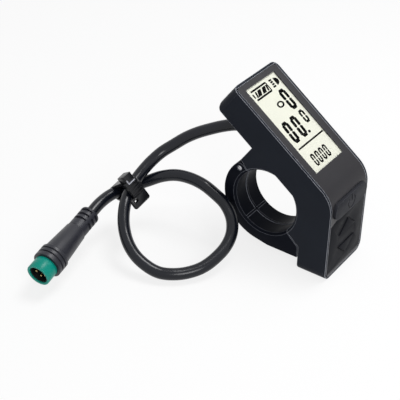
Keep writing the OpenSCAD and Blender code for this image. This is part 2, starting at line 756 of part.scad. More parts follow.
function total(v, i = 0) = i < len(v) ? v[i] + total(v, i + 1) : 0;
echo(lead_length = total(lead_steps));
module lead() {
    color([0.07, 0.07, 0.08]) tube(lead_d);
}

// Outline of the band: two half circles and straight sides, centred on its long axis
module oval_2d(r, reach) {
    for (side = [-1, 1]) translate([side * reach, 0]) circle(r = r);
    translate([-reach, -r]) square([2 * reach, 2 * r]);
}
module tie_frame() {
    aim(outlet + tie_shift, tie_from_up, tie_heading) rotate([0, 0, tie_turn]) children();
}
module cable_tie() {
    inner = lead_d / 2 + tie_room;
    outer = inner + tie_t;
    top = tie_reach + outer;
    color([0.05, 0.05, 0.05]) tie_frame() difference() {
        union() {
            translate([0, 0, -tie_w / 2]) linear_extrude(tie_w) difference() {
                oval_2d(outer, tie_reach);
                oval_2d(inner, tie_reach);
            }
            translate([top - tie_head[0], inner, tie_head_side - tie_head[2] / 2]) cube(tie_head);
            translate([top - tie_t, tie_tail_out, tie_side - tie_tail_w / 2])
                cube([tie_t, tie_tail_in - tie_tail_out, tie_tail_w]);
            for (i = [0:tie_ribs - 1])
                translate([top - tie_rib_h, tie_rib_y - 2 * tie_rib_w * i, tie_side - tie_tail_w / 2])
                    cube([2 * tie_rib_h, tie_rib_w, tie_tail_w]);
            translate([top - tie_t + tie_tab_lift, tie_tab_y, tie_tab_side - tie_tab[2] / 2]) cube(tie_tab);
        }
        translate([top - tie_t, -tie_hole[0], tie_hole[1]]) rotate([0, 90, 0])
            cylinder(r = tie_hole_r, h = tie_tab[0] + 2 * over);
    }
}

// The plug's moulded body, turned about its axis
module plug_frame() {
    aim(outlet + plug_shift, plug_from_up, plug_heading) children();
}
module plug_body() {
    color([0.1, 0.1, 0.11]) plug_frame() difference() {
        union() {
            cylinder(r = grip_r, h = grip_l);
            translate([0, 0, grip_l]) cylinder(r1 = plug_neck_r, r2 = plug_full_r, h = plug_l - grip_l);
            translate([0, 0, plug_l - flange_l]) cylinder(r = flange_r, h = flange_l);
        }
        for (i = [0:grip_slots - 1]) translate([0, 0, slot_w + slot_pitch * i]) difference() {
            cylinder(r = grip_r + over, h = slot_w);
            translate([0, 0, -over]) cylinder(r = grip_r - slot_h, h = slot_w + 2 * over);
        }
        for (i = [1:flange_slots])
            translate([0, 0, plug_l - flange_l * i / (flange_slots + 1) - flange_slot_w]) difference() {
                cylinder(r = flange_r + over, h = flange_slot_w);
                translate([0, 0, -over]) cylinder(r = flange_r - slot_h, h = flange_slot_w + 2 * over);
            }
        translate([0, 0, plug_l - nose_root_l]) cylinder(r = nose_root_r, h = nose_root_l + over);
    }
}
module plug_nose() {
    color([0.04, 0.63, 0.52]) plug_frame() difference() {
        union() {
            translate([0, 0, plug_l - nose_root_l]) cylinder(r = nose_root_r, h = nose_root_l);
            translate([0, 0, plug_l]) cylinder(r = nose_r, h = nose_l);
        }
        translate([0, 0, plug_l + nose_l - nose_bore_l - insert_t])
            cylinder(r = nose_r - nose_wall, h = nose_bore_l + insert_t + over);
    }
}
module plug_insert() {
    bore = nose_r - nose_wall;
    color([0.03, 0.03, 0.03]) plug_frame() translate([0, 0, plug_l + nose_l - nose_bore_l]) difference() {
        translate([0, 0, -insert_t]) cylinder(r = bore, h = insert_t + nose_bore_l - insert_in);
        cylinder(r = bore - insert_wall, h = nose_bore_l + over);
    }
}
module plug_pins() {
    ring_r = (nose_r - nose_wall) * pin_ring_share;
    color([0.8, 0.7, 0.4]) plug_frame() for (i = [0:plug_pin_n - 1])
        rotate([0, 0, plug_pin_turn + 360 / plug_pin_n * i])
            translate([ring_r, 0, plug_l + nose_l - nose_bore_l])
                cylinder(r = plug_pin_r, h = plug_pin_l);
}

rear_housing();
front_cover();
lens_window();
window_gasket();
lcd_glass();
lcd_backlight();
main_pcb();
controller_chip();
power_parts();
cable_socket();
inner_wires();
key_pcb();
tact_switches();
board_ribbon();
key_panel();
power_button();
up_button();
down_button();
cover_screws();
screw_insert();
clamp_strap();
hinge_pin();
clamp_screw();
strain_relief();
lead();
cable_tie();
plug_body();
plug_nose();
plug_insert();
plug_pins();
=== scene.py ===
"""Dresses the handlebar display: body, screen, keys, clamp ring, tied lead and plug.

All lengths in the classes are millimetres in the frame of the CAD model (origin in the clamp
bore, +X along the bar, +Y away from the rider, +Z up) and become metres through mm().
"""

import json
import logging
import math
from collections.abc import Callable, Sequence
from dataclasses import dataclass, field
from enum import Enum

import bpy
from mathutils import Matrix, Vector

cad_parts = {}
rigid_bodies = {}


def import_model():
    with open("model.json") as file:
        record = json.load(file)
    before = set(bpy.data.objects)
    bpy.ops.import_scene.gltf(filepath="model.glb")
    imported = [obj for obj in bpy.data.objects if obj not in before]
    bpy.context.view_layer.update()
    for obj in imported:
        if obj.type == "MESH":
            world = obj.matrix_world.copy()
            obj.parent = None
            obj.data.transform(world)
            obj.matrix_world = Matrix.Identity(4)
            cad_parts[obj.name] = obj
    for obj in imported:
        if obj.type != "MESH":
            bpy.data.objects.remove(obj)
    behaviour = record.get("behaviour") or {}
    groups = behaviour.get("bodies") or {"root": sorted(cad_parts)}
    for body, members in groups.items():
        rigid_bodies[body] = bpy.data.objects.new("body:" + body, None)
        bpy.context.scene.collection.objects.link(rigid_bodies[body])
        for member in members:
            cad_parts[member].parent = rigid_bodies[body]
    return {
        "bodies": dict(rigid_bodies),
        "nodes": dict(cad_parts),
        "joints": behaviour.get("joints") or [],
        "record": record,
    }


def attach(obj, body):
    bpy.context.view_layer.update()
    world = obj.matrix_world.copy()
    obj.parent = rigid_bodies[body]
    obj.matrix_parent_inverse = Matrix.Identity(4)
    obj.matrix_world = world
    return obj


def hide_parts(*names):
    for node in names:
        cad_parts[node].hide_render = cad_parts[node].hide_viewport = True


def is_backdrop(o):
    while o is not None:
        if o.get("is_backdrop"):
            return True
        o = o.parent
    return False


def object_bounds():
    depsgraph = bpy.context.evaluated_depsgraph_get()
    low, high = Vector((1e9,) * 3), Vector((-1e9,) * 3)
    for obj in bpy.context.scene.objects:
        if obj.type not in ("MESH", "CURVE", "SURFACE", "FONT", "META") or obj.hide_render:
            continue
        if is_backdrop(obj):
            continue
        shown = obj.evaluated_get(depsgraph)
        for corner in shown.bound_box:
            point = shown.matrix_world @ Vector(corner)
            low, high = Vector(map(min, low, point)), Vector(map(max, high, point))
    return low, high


LOG = logging.getLogger("display")
Tone = tuple[float, float, float]
Colour = tuple[float, float, float, float]
Point = tuple[float, float, float]
NEAR = 0.01  # two places closer than this count as one, in millimetres


def mm(value: float) -> float:
    """Returns a length in metres for one in millimetres."""
    return value * 0.001


def spot(point: Point) -> Vector:
    """Returns a point in metres for one in millimetres."""
    return Vector(point) * 0.001


def linear(tone: Tone) -> Colour:
    """Turns a display colour into a scene colour.

    Args:
        tone: Red, green and blue from 0 to 255.

    Returns:
        The linear colour with alpha 1.
    """
    parts = [c / 255 for c in tone]
    return (*[c / 12.92 if c <= 0.04045 else ((c + 0.055) / 1.055) ** 2.4 for c in parts], 1.0)


class Body(Enum):
    """The moving bodies of the frame."""

    DISPLAY = "display"
    STRAP = "strap"
    CLAMP_SCREW = "clamp_screw"
    POWER_KEY = "power_key"
    UP_KEY = "up_key"
    DOWN_KEY = "down_key"


# Finishes


class NodeSheet:
    """A material's node tree, filled in from left to right."""

    def __init__(self, name: str) -> None:
        """Starts an empty material with a Principled shader."""
        self.material = bpy.data.materials.new(name)
        self.material.use_nodes = True
        self.tree = self.material.node_tree
        self.tree.nodes.clear()
        self.output = self.add("ShaderNodeOutputMaterial")
        self.shader = self.add("ShaderNodeBsdfPrincipled")
        self.link(self.shader, "BSDF", self.output, "Surface")
        self.place = self.add("ShaderNodeTexCoord")

    def add(self, kind: str, **values: object) -> bpy.types.Node:
        """Adds a node.

        Args:
            kind: The node's type name.
            **values: Its settings, or its socket values where the name is a socket's.

        Returns:
            The new node.
        """
        node = self.tree.nodes.new(kind)
        for key, value in values.items():
            if hasattr(node, key):
                setattr(node, key, value)
            else:
                node.inputs[key.replace("_", " ")].default_value = value
        return node

    def link(self, a: bpy.types.Node, out: str | int, b: bpy.types.Node, into: str | int) -> None:
        """Links one node's output to another's input."""
        self.tree.links.new(a.outputs[out], b.inputs[into])

    def noise(self, size: float, detail: float = 2.0, rough: float = 0.5) -> bpy.types.Node:
        """Adds a noise on Object coordinates.

        Args:
            size: Size of its spots in millimetres.
            detail: Number of finer layers.
            rough: Weight of the finer layers.

        Returns:
            The noise node.
        """
        node = self.add("ShaderNodeTexNoise", Scale=1 / mm(size), Detail=detail, Roughness=rough)
        self.link(self.place, "Object", node, "Vector")
        return node

    def spread(self, source: bpy.types.Node, out: str | int, low: float, high: float) -> bpy.types.Node:
        """Maps the middle of a noise onto a range.

        Args:
            source: The node that gives the value.
            out: Its output.
            low: Value at the noise's low end.
            high: Value at its high end.

        Returns:
            The Map Range node.
        """
        node = self.add("ShaderNodeMapRange")
        for index, value in enumerate((0.3, 0.7, low, high), start=1):
            node.inputs[index].default_value = value
        self.link(source, out, node, 0)
        return node

    def blend(self, share: bpy.types.Node, out: str | int, low: Colour, high: Colour) -> bpy.types.Node:
        """Mixes two colours by a value.

        Args:
            share: The node that gives the value.
            out: Its output.
            low: Colour at 0.
            high: Colour at 1.

        Returns:
            The Mix node, whose colour output is number 2.
        """
        node = self.add("ShaderNodeMix", data_type="RGBA")
        node.inputs[6].default_value = low
        node.inputs[7].default_value = high
        self.link(share, out, node, 0)
        return node

    def relief(self, source: bpy.types.Node, out: str | int, height: float, strength: float,
               before: bpy.types.Node | None = None) -> bpy.types.Node:
        """Adds a bump.

        Args:
            source: The node that gives the height.
            out: Its output.
            height: Depth of the relief in millimetres.
            strength: Strength of the bump.
            before: A node whose normal the bump starts from.

        Returns:
            The bump node.
        """
        node = self.add("ShaderNodeBump", Strength=strength, Distance=mm(height))
        self.link(source, out, node, "Height")
        if before is not None:
            self.link(before, "Normal", node, "Normal")
        return node


def shade(tone: Tone, share: float) -> Tone:
    """Returns a tone made lighter (above 1) or darker (below 1)."""
    return tuple(min(255.0, c * share) for c in tone)


@dataclass(frozen=True)
class Moulded:
    """Moulded plastic or rubber: slow drift of the tone, a fine grain, softened edges and a highlight
    painted along them.
    """

    name: str
    tone: Tone
    roughness: float = 0.42
    drift: float = 0.10
    grain: float = 0.12
    relief: float = 0.006
    edge: float = 0.12
    # colour, strength and normal range of the highlight painted along the edges
    edge_highlight_tone: Tone = (70.0, 71.0, 74.0)
    edge_highlight_share: float = 0.4
    edge_highlight_match: tuple[float, float] = (0.995, 0.90)
    gloss: float = 0.12

    def make(self) -> bpy.types.Material:
        """Builds the material and returns it."""
        sheet = NodeSheet(self.name)
        slow = sheet.noise(size=9.0, detail=3.0)
        base = sheet.blend(slow, 0, linear(shade(self.tone, 1 - self.drift)),
                           linear(shade(self.tone, 1 + self.drift)))
        soft = self.paint_edge_highlight(sheet, base) if self.edge else None
        if soft is None:
            sheet.link(base, 2, sheet.shader, "Base Color")
        fine = sheet.noise(self.grain, detail=2.0, rough=0.6)
        bump = sheet.relief(fine, 0, self.relief, strength=0.35, before=soft)
        sheet.link(bump, "Normal", sheet.shader, "Normal")
        patch = sheet.noise(size=4.0, detail=4.0)
        gloss = sheet.spread(patch, 0, low=self.roughness - 0.05, high=self.roughness + 0.06)
        sheet.link(gloss, 0, sheet.shader, "Roughness")
        sheet.shader.inputs["Specular IOR Level"].default_value = self.gloss
        return sheet.material

    def paint_edge_highlight(self, sheet: NodeSheet, base: bpy.types.Node) -> bpy.types.Node:
        """Paints a highlight along the edges, where the softened normal leaves the true one.

        Args:
            sheet: The material's node tree.
            base: The node that gives the tone.

        Returns:
            The node of the softened normal.
        """
        soft = sheet.add("ShaderNodeBevel", samples=8, Radius=mm(self.edge))
        flat = sheet.add("ShaderNodeNewGeometry")
        match = sheet.add("ShaderNodeVectorMath", operation="DOT_PRODUCT")
        sheet.link(soft, 0, match, 0)
        sheet.link(flat, "Normal", match, 1)
        # mask of the edges that get the painted highlight
        edge_highlight_mask = sheet.add("ShaderNodeMapRange")
        for index, value in enumerate((*self.edge_highlight_match, 0.0, self.edge_highlight_share), start=1):
            edge_highlight_mask.inputs[index].default_value = value
        sheet.link(match, "Value", edge_highlight_mask, 0)
        # mixes the painted highlight colour into the base colour at the edges
        edge_highlight_mix = sheet.add("ShaderNodeMix", data_type="RGBA")
        sheet.link(edge_highlight_mask, 0, edge_highlight_mix, 0)
        sheet.link(base, 2, edge_highlight_mix, 6)
        edge_highlight_mix.inputs[7].default_value = linear(self.edge_highlight_tone)
        sheet.link(edge_highlight_mix, 2, sheet.shader, "Base Color")
        return soft


@dataclass(frozen=True)
class Metal:
    """Turned or plated metal with fine marks and a slightly uneven polish."""

    name: str
    tone: Tone
    roughness: float = 0.25
    marks: float = 0.25

    def make(self) -> bpy.types.Material:
        """Builds the material and returns it."""
        sheet = NodeSheet(self.name)
        slow = sheet.noise(size=1.5, detail=3.0)
        base = sheet.blend(slow, 0, linear(shade(self.tone, 0.86)), linear(self.tone))
        sheet.link(base, 2, sheet.shader, "Base Color")
        sheet.shader.inputs["Metallic"].default_value = 1.0
        fine = sheet.noise(self.marks, detail=4.0, rough=0.7)
        gloss = sheet.spread(fine, 0, low=self.roughness - 0.06, high=self.roughness + 0.12)
        sheet.link(gloss, 0, sheet.shader, "Roughness")
        bump = sheet.relief(fine, 0, height=0.004, strength=0.3)
        sheet.link(bump, "Normal", sheet.shader, "Normal")
        return sheet.material


@dataclass(frozen=True)
class ClearPlastic:
    """Clear window plastic: nearly seen through, with a faint gloss."""

    name: str
    tone: Tone
    cover: float = 0.06
    gloss: float = 0.1

    def make(self) -> bpy.types.Material:
        """Builds the material and returns it."""
        sheet = NodeSheet(self.name)
        smear = sheet.noise(size=3.0, detail=4.0)
        base = sheet.blend(smear, 0, linear(shade(self.tone, 0.97)), linear(self.tone))
        sheet.link(base, 2, sheet.shader, "Base Color")
        gloss = sheet.spread(smear, 0, low=0.08, high=0.16)
        sheet.link(gloss, 0, sheet.shader, "Roughness")
        sheet.shader.inputs["Specular IOR Level"].default_value = self.gloss
        sheet.shader.inputs["Alpha"].default_value = self.cover
        return sheet.material


@dataclass(frozen=True)
class Laminate:
    """Circuit board: green lacquer over copper tracks, with pale pads."""

    name: str
    tone: Tone
    track: Tone
    cell: float = 3.1
    track_share: float = 0.04

    def make(self) -> bpy.types.Material:
        """Builds the material and returns it."""
        sheet = NodeSheet(self.name)
        cells = sheet.add("ShaderNodeTexBrick", Scale=1 / mm(self.cell), offset=0.5)
        cells.inputs["Color1"].default_value = linear(self.tone)
        cells.inputs["Color2"].default_value = linear(shade(self.tone, 1.12))
        cells.inputs["Mortar"].default_value = linear(self.track)
        cells.inputs["Mortar Size"].default_value = self.track_share
        sheet.link(sheet.place, "Object", cells, "Vector")
        sheet.link(cells, "Color", sheet.shader, "Base Color")
        bump = sheet.relief(cells, "Fac", height=0.03, strength=0.4)
        sheet.link(bump, "Normal", sheet.shader, "Normal")
        gloss = sheet.spread(sheet.noise(size=2.0), 0, low=0.25, high=0.4)
        sheet.link(gloss, 0, sheet.shader, "Roughness")
        return sheet.material


@dataclass(frozen=True)
class Lacquer:
    """A printed or sprayed layer: segment ink, display ground, light guide."""

    name: str
    tone: Tone
    roughness: float = 0.35
    mottle: float = 0.03
    spot: float = 1.2
    gloss: float = 0.5

    def make(self) -> bpy.types.Material:
        """Builds the material and returns it."""
        sheet = NodeSheet(self.name)
        slow = sheet.noise(self.spot, detail=3.0)
        base = sheet.blend(slow, 0, linear(shade(self.tone, 1 - self.mottle)), linear(self.tone))
        sheet.link(base, 2, sheet.shader, "Base Color")
        gloss = sheet.spread(slow, 0, low=self.roughness, high=self.roughness + 0.1)
        sheet.link(gloss, 0, sheet.shader, "Roughness")
        bump = sheet.relief(sheet.noise(size=0.08), 0, height=0.002, strength=0.2)
        sheet.link(bump, "Normal", sheet.shader, "Normal")
        sheet.shader.inputs["Specular IOR Level"].default_value = self.gloss
        return sheet.material


@dataclass(frozen=True)
class Palette:
    """Every finish on the display."""

    # each finish's edge tone and share paint a highlight along its edges, the nose's rim included
    shell: Moulded = Moulded("side_shell", (27, 31, 39), edge=0.3, edge_highlight_tone=(185, 188, 196),
                             edge_highlight_share=0.85, gloss=0.08)
    cover: Moulded = Moulded("front_shell", (34, 33, 37), roughness=0.36, edge=0.2,
                             edge_highlight_tone=(125, 126, 131), edge_highlight_share=0.5, gloss=0.24)
    panel: Moulded = Moulded("key_panel_film", (28, 29, 33), roughness=0.5, edge_highlight_tone=(110, 112, 118),
                             edge_highlight_share=0.3, gloss=0.04)
    key: Moulded = Moulded("key_rubber", (38, 39, 44), roughness=0.5, grain=0.2,
                           edge_highlight_tone=(120, 122, 130), edge_highlight_share=0.5, gloss=0.08)
    arrow: Moulded = Moulded("arrow_rubber", (24, 25, 30), roughness=0.5, grain=0.2, edge_highlight_share=0.5,
                             gloss=0.03)
    sign: Moulded = Moulded("key_sign", (6, 6, 8), roughness=0.55, edge=0.0)
    strap: Moulded = Moulded("strap_plastic", (14, 17, 25), roughness=0.36, edge=0.3,
                             edge_highlight_tone=(130, 133, 142), edge_highlight_share=0.8, gloss=0.03)
    jacket: Moulded = Moulded("lead_jacket", (15, 18, 26), roughness=0.2, grain=0.9, relief=0.002,
                              edge=0.0, gloss=0.32)
    grip: Moulded = Moulded("plug_rubber", (33, 34, 42), roughness=0.4, grain=0.4, relief=0.004,
                            edge=0.0, gloss=0.4)
    relief: Moulded = Moulded("relief_rubber", (20, 21, 25), roughness=0.5)
    tie: Moulded = Moulded("tie_nylon", (14, 15, 19), roughness=0.3, edge=0.0, gloss=0.35)
    # the lips are the tie's dark nylon painted pale: a painted highlight
    lip_highlight: Moulded = Moulded("tie_lip_highlight", (170, 172, 180), roughness=0.3, edge=0.0, gloss=0.4)
    nose: Moulded = Moulded("nose_plastic", (2, 138, 122), roughness=0.3, drift=0.06, edge=0.2,
                            edge_highlight_tone=(120, 222, 204), edge_highlight_share=0.7, gloss=0.2)
    core: Moulded = Moulded("nose_floor", (10, 14, 14), roughness=0.5)
    foam: Moulded = Moulded("foam_tape", (34, 34, 36), roughness=0.8, grain=0.3, relief=0.04)
    chip: Moulded = Moulded("chip_resin", (28, 28, 30), roughness=0.55)
    parts: Moulded = Moulded("supply_parts", (96, 82, 66), roughness=0.5)
    socket: Moulded = Moulded("socket_plastic", (228, 222, 206), roughness=0.5)
    wires: Moulded = Moulded("wire_sleeve", (140, 28, 26), roughness=0.4)
    switches: Metal = Metal("switch_steel", (196, 196, 200), roughness=0.3)
    ribbon: Lacquer = Lacquer("ribbon_film", (196, 130, 46), roughness=0.3)
    window: ClearPlastic = ClearPlastic("window_clear", (40, 42, 42))
    ground: Lacquer = Lacquer("display_ground", (253, 254, 238), roughness=0.5, mottle=0.02)
    ink: Lacquer = Lacquer("segment_ink", (6, 6, 6), roughness=0.5, gloss=0.02)
    light: Lacquer = Lacquer("light_guide", (240, 240, 238), roughness=0.4)
    board: Laminate = Laminate("board_lacquer", (16, 88, 54), (28, 120, 74))
    steel: Metal = Metal("pin_steel", (205, 205, 208), roughness=0.22)
    screw: Metal = Metal("screw_steel", (178, 178, 182), roughness=0.28)
    brass: Metal = Metal("insert_brass", (206, 168, 88), roughness=0.3)
    contact: Metal = Metal("contact_gold", (226, 200, 140), roughness=0.22)


Coat = Moulded | Metal | ClearPlastic | Laminate | Lacquer


# Workshop


class Shop:
    """Modelling steps that several pieces share."""

    def __init__(self, frame: dict) -> None:
        """Keeps the loaded frame and the finishes already made."""
        self.nodes: dict[str, bpy.types.Object] = frame["nodes"]
        self.made: dict[str, bpy.types.Material] = {}

    def finish(self, coat: Coat) -> bpy.types.Material:
        """Returns a finish's material, made once."""
        if coat.name not in self.made:
            self.made[coat.name] = coat.make()
        return self.made[coat.name]

    def only(self, piece: bpy.types.Object) -> None:
        """Selects one piece and nothing else."""
        if bpy.context.object and bpy.context.object.mode != "OBJECT":
            bpy.ops.object.mode_set(mode="OBJECT")
        bpy.ops.object.select_all(action="DESELECT")
        piece.select_set(True)
        bpy.context.view_layer.objects.active = piece

    def start(self, name: str) -> bpy.types.Object:
        """Names the primitive just added.

        Args:
            name: Name of the piece.

        Returns:
            The new object.
        """
        piece = bpy.context.object
        piece.name = piece.data.name = name
        return piece

    def block(self, name: str, size: Point, middle: Point = (0.0, 0.0, 0.0)) -> bpy.types.Object:
        """Models a block.

        Args:
            name: Name of the piece.
            size: Its size in millimetres.
            middle: Its middle in millimetres.

        Returns:
            The block, with its place in its mesh.
        """
        bpy.ops.object.select_all(action="DESELECT")
        bpy.ops.mesh.primitive_cube_add(size=mm(1), location=[mm(c) for c in middle], scale=size)
        piece = self.start(name)
        bpy.ops.object.transform_apply(location=True, rotation=True, scale=True)
        return piece

    def disc(self, name: str, radius: float, depth: float, sides: int) -> bpy.types.Object:
        """Models a flat disc.

        Args:
            name: Name of the piece.
            radius: Its radius in millimetres.
            depth: Its thickness in millimetres.
            sides: Number of faces round it.

        Returns:
            The disc, centred on the origin, with its top on Z = 0.
        """
        bpy.ops.object.select_all(action="DESELECT")
        bpy.ops.mesh.primitive_cylinder_add(vertices=sides, radius=mm(radius), depth=mm(depth),
                                            location=(0, 0, mm(-depth / 2)))
        piece = self.start(name)
        bpy.ops.object.transform_apply(location=True, rotation=True, scale=True)
        return piece

    def copy_of(self, node: str, name: str, flat: float = 0.5) -> bpy.types.Object:
        """Copies a CAD node's mesh, merged, with its flat faces whole.

        Args:
            node: The CAD node.
            name: Name of the copy.
            flat: Angle in degrees below which faces are taken as one.

        Returns:
            The copy.
        """
        source = self.nodes[node]
        piece = bpy.data.objects.new(name, source.data.copy())
        piece.data.name = name
        bpy.context.scene.collection.objects.link(piece)
        piece.data.materials.clear()
        self.only(piece)
        bpy.ops.mesh.customdata_custom_splitnormals_clear()
        bpy.ops.object.mode_set(mode="EDIT")
        bpy.ops.mesh.select_all(action="SELECT")
        bpy.ops.mesh.remove_doubles(threshold=mm(0.002))
        bpy.ops.mesh.dissolve_limited(angle_limit=math.radians(flat), delimit=set())
        bpy.ops.object.mode_set(mode="OBJECT")
        return piece

    def round_off(self, piece: bpy.types.Object, chosen: Callable[[Vector, Vector], bool], width: float,
                  segments: int = 3, angle: float = 30.0) -> None:
        """Rounds the chosen sharp edges of a piece.

        Args:
            piece: The piece.
            chosen: A test of an edge's two ends, in millimetres.
            width: Width of the rounding in millimetres.
            segments: Steps across it.
            angle: Smallest angle between two faces, in degrees.
        """
        self.edit(piece)
        mesh = piece.data
        faces: dict[tuple[int, int], list[Vector]] = {}
        for face in mesh.polygons:
            for key in face.edge_keys:
                faces.setdefault(key, []).append(face.normal)
        for edge in mesh.edges:
            normals = faces.get(tuple(sorted(edge.vertices)), [])
            ends = [mesh.vertices[i].co * 1000 for i in edge.vertices]
            sharp = len(normals) == 2 and normals[0].angle(normals[1], 0.0) > math.radians(angle)
            edge.select = sharp and chosen(*ends)
        bpy.ops.object.mode_set(mode="EDIT")
        bpy.ops.mesh.select_mode(type="EDGE")
        bpy.ops.mesh.bevel(offset=mm(width), segments=segments, affect="EDGES", clamp_overlap=True)
        bpy.ops.object.mode_set(mode="OBJECT")

    def soften(self, piece: bpy.types.Object, width: float, segments: int = 2, angle: float = 30.0) -> None:
        """Rounds every edge sharper than an angle.

        Args:
            piece: The piece.
            width: Width of the rounding in millimetres.
            segments: Steps across it.
            angle: Smallest angle between two faces, in degrees.
        """
        self.only(piece)
        tool = piece.modifiers.new("rounding", "BEVEL")
        tool.width = mm(width)
        tool.segments = segments
        tool.limit_method = "ANGLE"
        tool.angle_limit = math.radians(angle)
        tool.use_clamp_overlap = True
        tool.miter_outer = "MITER_ARC"
        bpy.ops.object.modifier_apply(modifier=tool.name)

    def settle(self, piece: bpy.types.Object, body: Body, slot: str, coat: Coat, *nodes: str,
               angle: float = 32.0) -> bpy.types.Object:
        """Finishes a piece and ties it to the frame.

        Args:
            piece: The piece, with its place in its mesh or its transform.
            body: The body that it rides on.
            slot: The record's material slot; not used.
            coat: Its finish.
            *nodes: CAD nodes that it replaces.
            angle: Angle in degrees below which faces are shaded as one surface.

        Returns:
            The piece.
        """
        self.only(piece)
        bpy.ops.object.transform_apply(location=True, rotation=True, scale=True)
        if piece.type == "MESH":
            bpy.ops.object.shade_smooth_by_angle(angle=math.radians(angle))
        piece.data.materials.clear()
        piece.data.materials.append(self.finish(coat))
        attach(piece, body.value)
        if nodes:
            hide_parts(*nodes)
        LOG.info("%s rides on %s", piece.name, body.value)
        return piece

    def coat_node(self, node: str, coat: Coat) -> None:
        """Gives a carried-over CAD node its finish, by its material slots."""
        piece = self.nodes[node]
        material = self.finish(coat)
        if not piece.material_slots:
            piece.data.materials.append(material)
        for entry in piece.material_slots:
            entry.material = material
        LOG.info("%s keeps its own solid", node)

    def edit(self, piece: bpy.types.Object) -> None:
        """Opens a piece for editing with nothing selected."""
        self.only(piece)
        bpy.ops.object.mode_set(mode="EDIT")
        bpy.ops.mesh.select_mode(type="VERT")
        bpy.ops.mesh.select_all(action="DESELECT")
        bpy.ops.object.mode_set(mode="OBJECT")

    def shift(self, piece: bpy.types.Object, chosen: Callable[[Vector], bool], move: Vector) -> None:
        """Moves the chosen points of a piece.

        Args:
            piece: The piece.
            chosen: A test of a point's place.
            move: How far, in metres.
        """
        self.edit(piece)
        for vertex in piece.data.vertices:
            vertex.select = chosen(vertex.co)
        bpy.ops.object.mode_set(mode="EDIT")
        bpy.ops.mesh.select_mode(type="VERT")
        bpy.ops.transform.translate(value=move)
        bpy.ops.object.mode_set(mode="OBJECT")

    def repeat(self, piece: bpy.types.Object, place: Matrix) -> bpy.types.Object:
        """Copies a piece with its own mesh.

        Args:
            piece: The piece.
            place: The copy's place.

        Returns:
            The copy.
        """
        twin = piece.copy()
        twin.data = piece.data.copy()
        bpy.context.scene.collection.objects.link(twin)
        twin.data.transform(place)
        return twin

    def join(self, name: str, pieces: list[bpy.types.Object]) -> bpy.types.Object:
        """Joins pieces into one.

        Args:
            name: Name of the result.
            pieces: The pieces.

        Returns:
            The joined piece.
        """
        self.only(pieces[0])
        for piece in pieces:
            piece.select_set(True)
        bpy.ops.object.join()
        return self.start(name)

    def turned(self, name: str, outline: Sequence[tuple[float, float]], frame_at: Matrix,
               steps: int = 48) -> bpy.types.Object:
        """Turns an outline about an axis, as on a lathe.

        Args:
            name: Name of the piece.
            outline: Radius and distance along the axis, in millimetres, from end to end.
            frame_at: Place of the axis, which is the frame's own Z.
            steps: Number of faces round it.

        Returns:
            The turned piece.
        """
        bpy.ops.object.select_all(action="DESELECT")
        bpy.ops.mesh.primitive_plane_add(size=mm(1))
        piece = self.start(name)
        self.only(piece)
        bpy.ops.object.mode_set(mode="EDIT")
        bpy.ops.mesh.select_mode(type="VERT")
        bpy.ops.mesh.select_all(action="SELECT")
        bpy.ops.mesh.merge(type="CENTER")
        bpy.ops.transform.translate(value=Vector((mm(outline[0][0]), 0, mm(outline[0][1]))))
        for before, after in zip(outline, outline[1:]):
            move = Vector((mm(after[0] - before[0]), 0, mm(after[1] - before[1])))
            bpy.ops.mesh.extrude_region_move(TRANSFORM_OT_translate={"value": move})
        bpy.ops.mesh.select_all(action="SELECT")
        bpy.ops.mesh.spin(steps=steps, angle=2 * math.pi, center=(0, 0, 0), axis=(0, 0, 1))
        bpy.ops.mesh.select_all(action="SELECT")
        bpy.ops.mesh.remove_doubles(threshold=mm(0.004))
        bpy.ops.mesh.normals_make_consistent(inside=False)
        bpy.ops.object.mode_set(mode="OBJECT")
        piece.data.transform(frame_at)
        return piece


@dataclass
class Shape:
    """The body's planes, as the CAD model has them."""

    bore_r: float = 11.25
    saddle_wall: float = 2.0
    slab: float = 10.4
    tilt: float = math.radians(36.5)
    seat: float = 11.19
    bend_r: float = 9.5

    @property
    def front(self) -> float:
        """Y of the key face."""
        return -(self.bore_r + self.saddle_wall + self.slab)

    @property
    def cross(self) -> float:
        """Z at which the screen plane crosses the key face."""
        return (self.seat + self.slab + self.front * math.sin(self.tilt)) / math.cos(self.tilt)

    @property
    def bend(self) -> tuple[float, float]:
        """Y and Z of the bend's axis."""
        y = self.front + self.bend_r
        return y, (self.seat + self.slab - self.bend_r + y * math.sin(self.tilt)) / math.cos(self.tilt)

    def on_screen(self, x: float, s: float, depth: float) -> Matrix:
        """Returns the frame at a point of the screen face: X across, Y up the face, Z out of it."""
        y = self.front + s * math.cos(self.tilt) + depth * math.sin(self.tilt)
        z = self.cross + s * math.sin(self.tilt) - depth * math.cos(self.tilt)
        return Matrix.Translation(spot((x, y, z))) @ Matrix.Rotation(self.tilt, 4, "X")

    def on_keys(self, x: float, z: float, depth: float) -> Matrix:
        """Returns the frame at a point of the key face: X across, Y up, Z out of it."""
        return Matrix.Translation(spot((x, self.front + depth, z))) @ Matrix.Rotation(math.pi / 2, 4, "X")


# Studio


